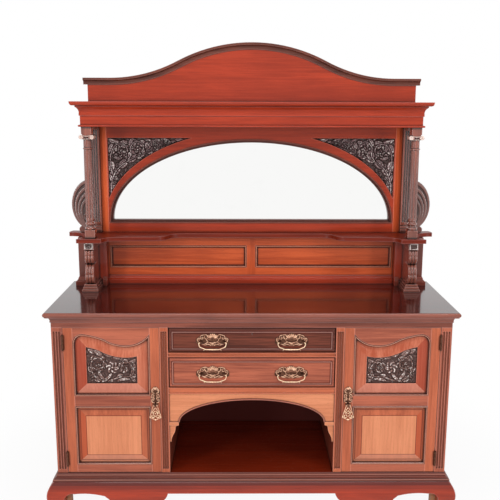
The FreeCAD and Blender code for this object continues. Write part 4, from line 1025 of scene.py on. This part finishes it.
class SIDEBOARD_OT_wing_carvings(bpy.types.Operator):
    """Raises nested ribs and a leaf on the scroll wings beside the mirror"""
    bl_idname = "sideboard.wing_carvings"
    bl_label = "Wing carvings"

    def execute(self, context):
        rib = context.scene.sideboard_carving.rib
        edge, middle, out, tall, ground = -0.791, 1.364, 0.101, 0.128, 0.2555
        rib_half, fade, kept_in = 0.0078, 0.012, 0.995
        r, a = lattice(np.linspace(0.02, 0.995, 90), np.linspace(-1, 1, 170))
        x = edge - 0.0005 - out * r * np.cos(a * np.pi / 2) * kept_in
        z = middle + tall * r * np.sin(a * np.pi / 2)
        height = np.zeros_like(x)
        for k, part in enumerate((0.955, 0.80, 0.66, 0.53)):
            drop = tall * (1 - part) * 0.55
            ring = np.hypot((x - edge) / (out * part), (z - middle + drop) / (tall * part)) - 1
            away = ring * out * part / rib_half
            height = np.maximum(height, np.sqrt(np.clip(1 - away ** 2, 0, 1)) * (1 - 0.08 * k))
        sprigs = (.052, .9), (.050, .5), (.044, .1), (.036, -.3)
        spray = [leaf((0.030, -0.088), 1.15 + 0.42 * n, size, bend, 0.0075, 0.3, 1.0, 3)
                 for n, (size, bend) in enumerate(sprigs)]
        leafy = carve(edge - x, z - middle, spray)
        height = np.where(leafy > 0, leafy, height) * rib * np.clip((1 - r) / fade, 0, 1)
        carving("wing_carving", x, z, height, ground, CARCASS,
                carving_finish(context, "wing", 1.0, (1.0, 0.7, 0.62), 0.5), 0.8)
        return {"FINISHED"}


class SIDEBOARD_OT_capitals(bpy.types.Operator):
    """Winds the spirals of the column capitals, front and back, and beads their necks"""
    bl_idname = "sideboard.capitals"
    bl_label = "Capitals"

    def execute(self, context):
        middle, y, neck = -0.771, 0.1005, 1.699
        half, eye, radius = 0.0235, 0.0255, 0.0100
        level = neck + 0.0045
        end = [(half + 0.0008, 0.0), (half + 0.0008, radius), (half * 0.8, radius),
               (half * 0.4, radius * 0.72)]
        roll = [(-at, r) for at, r in end] + [(0.0, radius * 0.6)] + end[::-1]
        button = [(0.0, 0.0), (0.0, 0.0030), (0.0014, 0.0027), (0.0024, 0.0015), (0.0028, 0.0)]
        t, sag = np.linspace(0, 1, 70), np.linspace(-1, 1, 30)
        shapes = [turned(roll, (middle + s * eye, y, level), (0.0, 1.0, 0.0), 32) for s in (-1, 1)]
        for face in (-1, 1):
            plane = y + face * half
            for s in (-1, 1):
                turn = np.pi / 2 - s * 2 * np.pi * 1.7 * t
                away = radius * 0.9 * 0.28 ** t
                spiral = np.column_stack([middle + s * eye + away * np.cos(turn),
                                          level + away * np.sin(turn)])
                shapes.append(plane_rod(spiral, plane, dwindle(70, 0.0016, 0.7)))
                shapes.append(turned(button, (middle + s * eye, plane, level),
                                     (0.0, face, 0.0), 16))
            brow = np.column_stack([middle + sag * eye, neck + 0.0125 - 0.0035 * (1 - sag ** 2)])
            shapes.append(plane_rod(brow, plane, 0.0017))
        around, ball = 0.0195, 0.0034
        profile = [(ball * np.sin(a), ball * np.cos(a)) for a in np.linspace(-1.57, 1.57, 7)]
        for turn in np.arange(16) * 2 * np.pi / 16:
            at = (middle + around * np.cos(turn), y + around * np.sin(turn), neck - 0.004)
            shapes.append(turned(profile, at, (0.0, 0.0, 1.0), 8))
        # The spirals take the near-white rubbed tone, a painted highlight.
        both_hands("capital_spirals", gathered(shapes), CARCASS,
                   bpy.data.materials["rubbed mahogany"])
        return {"FINISHED"}


def crest_bead(outline, y):
    """Thin bead along an outline in a plane facing the front, joined to itself."""
    loop = np.concatenate([outline, outline[:1]])
    steps = np.hypot(*np.diff(loop, axis=0).T)
    far = np.concatenate([[0.0], np.cumsum(steps)])
    at = np.linspace(0, far[-1], 400)
    return plane_rod(np.column_stack([np.interp(at, far, side) for side in loop.T]), y, 0.0012)


def oblong(rectangle, by):
    """Corners on the left side of a rectangle drawn in by a distance."""
    inner, outer, low, high = inset(rectangle, by)
    return np.array([(-outer, low), (-outer, high), (-inner, high), (-inner, low)])


class SIDEBOARD_OT_bead_crests(bpy.types.Operator):
    """Runs pale rods along the crests of the planted beads of the doors, the gallery and the
    mirror: painted highlight lines
    """
    bl_idname = "sideboard.bead_crests"
    bl_label = "Bead crests"

    def execute(self, context):
        # Pale crest lines: painted highlights along the beads.
        rubbed = bpy.data.materials["crest mahogany"]
        # How far inside its opening each crest runs, and how deep it is sunk
        on_door, on_gallery, on_mirror = 0.004, 0.0045, 0.001
        door_sunk, mirror_sunk = 0.0009, 0.0015
        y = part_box("left_door_mouldings")[0].y + door_sunk
        foot, *_, end = oblong(UPPER_PANEL, on_door)
        x = np.linspace(foot[0], end[0], 90)
        upper = np.concatenate([[foot], np.column_stack([x, panel_head(x, on_door)]), [end]])
        shape = gathered([crest_bead(upper, y), crest_bead(oblong(LOWER_PANEL, on_door), y)])
        both_hands("door_bead_crests", shape, DOORS, rubbed)
        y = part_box("gallery_panels")[0].y
        both_hands("gallery_bead_crest", crest_bead(oblong(GALLERY_PANEL, on_gallery), y),
                   CARCASS, rubbed)
        low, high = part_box("mirror_bead")
        turn = np.linspace(0, np.pi, 181)
        half, rise = high.x - on_mirror, high.z - ARCH_FOOT - on_mirror
        arch = np.column_stack([-half * np.cos(turn), ARCH_FOOT + rise * np.sin(turn)])
        foot = low.z + on_mirror
        arch = np.concatenate([[(-half, foot)], arch, [(half, foot)]])
        piece("mirror_bead_crest", crest_bead(arch, low.y + mirror_sunk), "carcass", rubbed)
        return {"FINISHED"}


class SIDEBOARD_OT_rear_batten(bpy.types.Operator):
    """Closes the slot between the plinth's rear rail and the back boards with a deal batten"""
    bl_idname = "sideboard.rear_batten"
    bl_label = "Rear batten"

    def execute(self, context):
        rail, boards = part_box("plinth_rear_rail"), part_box("carcass_back_boards")
        front, back = (np.array([[(boards[x].x, y, z) for x in (0, 1)]
                                 for z in (rail[1].z, boards[0].z)])
                       for y in (boards[1].y - REAR_BOARD, boards[1].y))
        piece("rear_batten", shell(front, back), "carcass", bpy.data.materials["deal"])
        return {"FINISHED"}


# Brasses

def mirrored(lines, y, rod):
    """Cast scrolls along lines and along their other hands."""
    return [plane_rod(line * (s, 1), y, dwindle(len(line), rod, 0.6), 0.9)
            for line in lines for s in (-1, 1)]


def petals(angles, start, count, reach, middle, y, width):
    """Cast petals at angles about a middle, from a share of an ellipse out to its rim."""
    shares = np.linspace(start, 1, count)[:, None]
    return [plane_rod(shares * (reach[0] * math.cos(a), reach[1] * math.sin(a)) + (0, middle), y,
                      taper(count, width, 0.3), 0.7) for a in np.radians(angles)]


def placed(shapes, x, z):
    """Shapes drawn about a pivot, as one shape in its place."""
    points, faces = gathered(shapes)
    return points + (x, 0, z), faces


def drawer_plate(x, y, z, rod):
    """Ornament of one backplate about its middle: a shell above, scrolls at both ends, a ring
    round the boss and a leaf below."""
    shapes = petals(np.linspace(28, 152, 7), 0.35, 14, (0.027, 0.0255), 0.004, y, 0.0032)
    shapes += mirrored([
        scroll([(.014, .012), (.030, .024), (.050, .020)], (.046, .010), 1.1),
        scroll([(.022, -.012), (.040, -.020), (.060, -.012), (.068, .000)], (.060, .002), 1.2),
        smooth([(.006, -.026), (.020, -.020), (.034, -.024), (.048, -.018)], 30),
        smooth([(.030, .004), (.036, .012), (.034, .020)], 20)], y, rod)
    turn = np.linspace(0, 2 * np.pi, 49)
    for a, b, r in ((0.0265, 0.0135, 0.0013), (0.0185, 0.0085, 0.0010)):
        ring = np.column_stack([a * np.cos(turn), b * np.sin(turn)])
        shapes.append(plane_rod(ring, y, r, 0.9))
    shapes += petals((-140, -115, -90, -65, -40), 0.5, 12, (0.016, 0.026), 0, y, 0.0021)
    return placed(shapes, x, z)


def bail_ornament(x, y, z):
    """Beads along the bottom of a hanging handle, a collar in the middle and a thorn each side."""
    shapes = [bead((x + at, y, z), wide, r, (1.0, 0.0, 0.0)) for at, r, wide in (
        (0.0, 0.0042, 0.0032), (0.0052, 0.0034, 0.0024), (-0.0052, 0.0034, 0.0024),
        (0.0115, 0.0031, 0.0048), (-0.0115, 0.0031, 0.0048))]
    for s in (-1, 1):
        thorn = smooth([(s * 0.034, 0.002), (s * 0.037, -0.001), (s * 0.0385, -0.0055)], 10)
        shapes.append(plane_rod(thorn + (x, z), y, dwindle(10, 0.0022, 0.3)))
    return gathered(shapes)


class SIDEBOARD_OT_drawer_brasses(bpy.types.Operator):
    """Adds the cast ornament of the drawer handles"""
    bl_idname = "sideboard.drawer_brasses"
    bl_label = "Drawer brasses"

    def execute(self, context):
        brass = bpy.data.materials["rubbed brass"]
        rod = context.scene.sideboard_fittings.rod
        for level in LEVELS:
            for side in SIDES:
                body = f"{level}_drawer_{side}_bail"
                x, y, z = JOINTS[body + "_swing"]["pos_m"]
                piece(f"{level}_drawer_{side}_plate_ornament",
                      drawer_plate(x, y + PLATE_BEHIND, z + 0.010, rod), level + "_drawer", brass)
                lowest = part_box(body)[0].z
                piece(body + "_beads", bail_ornament(x, y, lowest + 0.0022), body,
                      bpy.data.materials["bright brass"])
        return {"FINISHED"}


def door_plate(x, y, z, rod):
    """Ornament of a door's long backplate, from the drop's pivot: pairs of scrolls up its edges
    and a leaf at its top and foot."""
    shapes = mirrored([
        scroll([(.004, .006), (.014, .010), (.017, .020)], (.0105, .020), 1.0),
        scroll([(.005, .042), (.014, .046), (.018, .036)], (.0125, .035), 1.0),
        smooth([(.0045, .024), (.0075, .032), (.0055, .042)], 24),
        scroll([(.004, .052), (.013, .056), (.0165, .066)], (.0110, .065), 1.0),
        smooth([(.013, .070), (.009, .076), (.003, .082)], 20),
        smooth([(.012, -.002), (.008, -.009), (.002, -.012)], 20)], y, rod)
    shapes += petals((50, 70, 90, 110, 130), 0.2, 12, (0.013, 0.014), 0.066, y, 0.0020)
    return placed(shapes, x, z)


def drop_ornament(x, y, z, low):
    """Pear-shaped ring inside a door's hanging drop with a scroll on each side, balls at the
    corners and a tip below."""
    turn = np.linspace(0, 2 * np.pi, 41)
    pear = np.column_stack([0.0078 * np.sin(turn) * (1.1 - 0.35 * np.cos(turn)),
                            0.0125 * np.cos(turn) - 0.040])
    lines = [pear]
    for s in (-1, 1):
        lines += [scroll([(s * .001, -.012), (s * .006, -.020), (s * .0125, -.030)],
                         (s * .0105, -.035), 0.9),
                  scroll([(s * .004, -.056), (s * .012, -.060), (s * .0175, -.054)],
                         (s * .0150, -.051), 0.9)]
    shapes = [plane_rod(line + (x, z), y, dwindle(len(line), 0.0017, 0.75), 0.9) for line in lines]
    shapes += [bead((x + dx, y, at), r, r, (0.0, 0.0, 1.0)) for dx, at, r in (
        (-0.0235, z - 0.0565, 0.0038), (0.0235, z - 0.0565, 0.0038),
        (0.0, low + 0.001, 0.0042), (0.0, z - 0.040, 0.0030))]
    return gathered(shapes)


class SIDEBOARD_OT_door_brasses(bpy.types.Operator):
    """Adds the cast ornament of the door handles"""
    bl_idname = "sideboard.door_brasses"
    bl_label = "Door brasses"

    def execute(self, context):
        brass = bpy.data.materials["rubbed brass"]
        rod = context.scene.sideboard_fittings.rod
        for side in SIDES:
            x, y, z = JOINTS[f"{side}_door_drop_swing"]["pos_m"]
            piece(f"{side}_door_plate_ornament", door_plate(x, y + PLATE_BEHIND, z, rod),
                  f"{side}_door", brass)
            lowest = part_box(f"{side}_door_drop_handle")[0].z
            piece(f"{side}_door_drop_ornament", drop_ornament(x, y, z, lowest),
                  f"{side}_door_drop", bpy.data.materials["bright brass"])
        return {"FINISHED"}


# Studio

class SIDEBOARD_OT_studio(bpy.types.Operator):
    """Sets the floor, the soft lamps, the white room and the camera"""
    bl_idname = "sideboard.studio"
    bl_label = "Studio"

    def execute(self, context):
        s = context.scene.sideboard_studio
        self.floor(s.floor)
        self.room(context.scene, s.sky)
        # Each lamp: where it stands, where it looks, its width and height, its share of the power
        for name, place, target, wide, tall, part in (
                ("lamp left", (-3.0, -3.2, 1.9), (0, 0, 1.1), 0.5, 3.4, 1.2),
                ("lamp right", (3.2, -3.0, 1.9), (0, 0, 1.1), 0.5, 3.4, 1.0),
                ("lamp front", (0.2, -4.6, 2.3), (0, 0, 1.2), 2.4, 2.4, 0.7),
                ("lamp over", (0.2, -2.4, 4.2), (0, 0, 1.2), 3.6, 0.9, 1.0)):
            self.lamp(name, place, target, wide, tall, s.lamp * part)
        self.camera(context.scene, s)
        context.scene.view_settings.view_transform = "Standard"
        return {"FINISHED"}

    def floor(self, level):
        """Disc round the object: rings of points, the outer one far off."""
        turn = np.linspace(0, 2 * np.pi, 64, endpoint=False)
        rings = np.array([0.001, 1.0, 3.0, 8.0, 24.0])[:, None]
        x, y = rings * np.cos(turn), rings * np.sin(turn)
        disc = sheet(np.stack([x, y, np.full_like(x, -0.0002)], -1), wrap=True)
        nearby = 0.93
        made = added("floor", meshed("floor", disc, white_floor("white floor", level, nearby)))

    def room(self, scene, level):
        """World that lights at one level and shows as white to the camera and in mirrors."""
        f = Finish("white room", "worlds")
        lit, shown = (f.node("ShaderNodeBackground", {}, {"Color": (1, 1, 1, 1), "Strength": light})
                      for light in (level, 1.0))
        both = f.node("ShaderNodeMixShader", {}, {0: f.seen(), 1: lit, 2: shown})
        f.node("ShaderNodeOutputWorld", {}, {"Surface": both})
        scene.world = f.made

    def lamp(self, name, place, target, wide, tall, power):
        lamp = bpy.data.lights.new(name, "AREA")
        lamp.shape, lamp.size, lamp.size_y, lamp.energy = "RECTANGLE", wide, tall, power
        made = added(name, lamp)
        made.location = place
        away = Vector(place) - Vector(target)
        made.rotation_euler = away.to_track_quat("Z", "Y").to_euler()
        made.visible_glossy = name != "lamp front"

    def camera(self, scene, s):
        """Camera that looks down, turned right and rolled by the given angles."""
        down, right, roll = s.tilt
        data = bpy.data.cameras.new("camera")
        data.lens, data.sensor_width = s.lens, 36
        scene.camera = added("camera", data)
        turn = (Matrix.Rotation(-right, 4, "Z") @ Matrix.Rotation(math.pi / 2 - down, 4, "X")
                @ Matrix.Rotation(roll, 4, "Z"))
        scene.camera.matrix_world = Matrix.Translation(s.camera) @ turn


OPERATORS = (SIDEBOARD_OT_timber, SIDEBOARD_OT_fittings, SIDEBOARD_OT_door_carvings,
             SIDEBOARD_OT_spandrel_carvings, SIDEBOARD_OT_console_carvings,
             SIDEBOARD_OT_wing_carvings, SIDEBOARD_OT_capitals, SIDEBOARD_OT_bead_crests,
             SIDEBOARD_OT_rear_batten, SIDEBOARD_OT_drawer_brasses, SIDEBOARD_OT_door_brasses,
             SIDEBOARD_OT_studio)
SETTINGS = {"sideboard_timber": SideboardTimber, "sideboard_fittings": SideboardFittings,
            "sideboard_carving": SideboardCarving, "sideboard_studio": SideboardStudio}


class SIDEBOARD_PT_panel(bpy.types.Panel):
    """Lists the settings and the steps"""
    bl_label = "Sideboard"
    bl_idname = "SIDEBOARD_PT_panel"
    bl_space_type = "VIEW_3D"
    bl_region_type = "UI"
    bl_category = "Sideboard"

    def draw(self, context):
        for name, group in SETTINGS.items():
            box = self.layout.box()
            for setting in group.__annotations__:
                box.prop(getattr(context.scene, name), setting)
        for operator in OPERATORS:
            self.layout.operator(operator.bl_idname)


def register():
    for group in SETTINGS.values():
        bpy.utils.register_class(group)
    for name, group in SETTINGS.items():
        setattr(bpy.types.Scene, name, bpy.props.PointerProperty(type=group))
    for known in (*OPERATORS, SIDEBOARD_PT_panel):
        bpy.utils.register_class(known)


def unregister():
    for known in (SIDEBOARD_PT_panel, *OPERATORS):
        bpy.utils.unregister_class(known)
    for name, group in SETTINGS.items():
        delattr(bpy.types.Scene, name)
        bpy.utils.unregister_class(group)


def main():
    """Makes every piece in order."""
    register()
    for operator in OPERATORS:
        group, step = operator.bl_idname.split(".")
        getattr(getattr(bpy.ops, group), step)()
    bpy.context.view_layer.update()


if __name__ == "__main__":
    main()
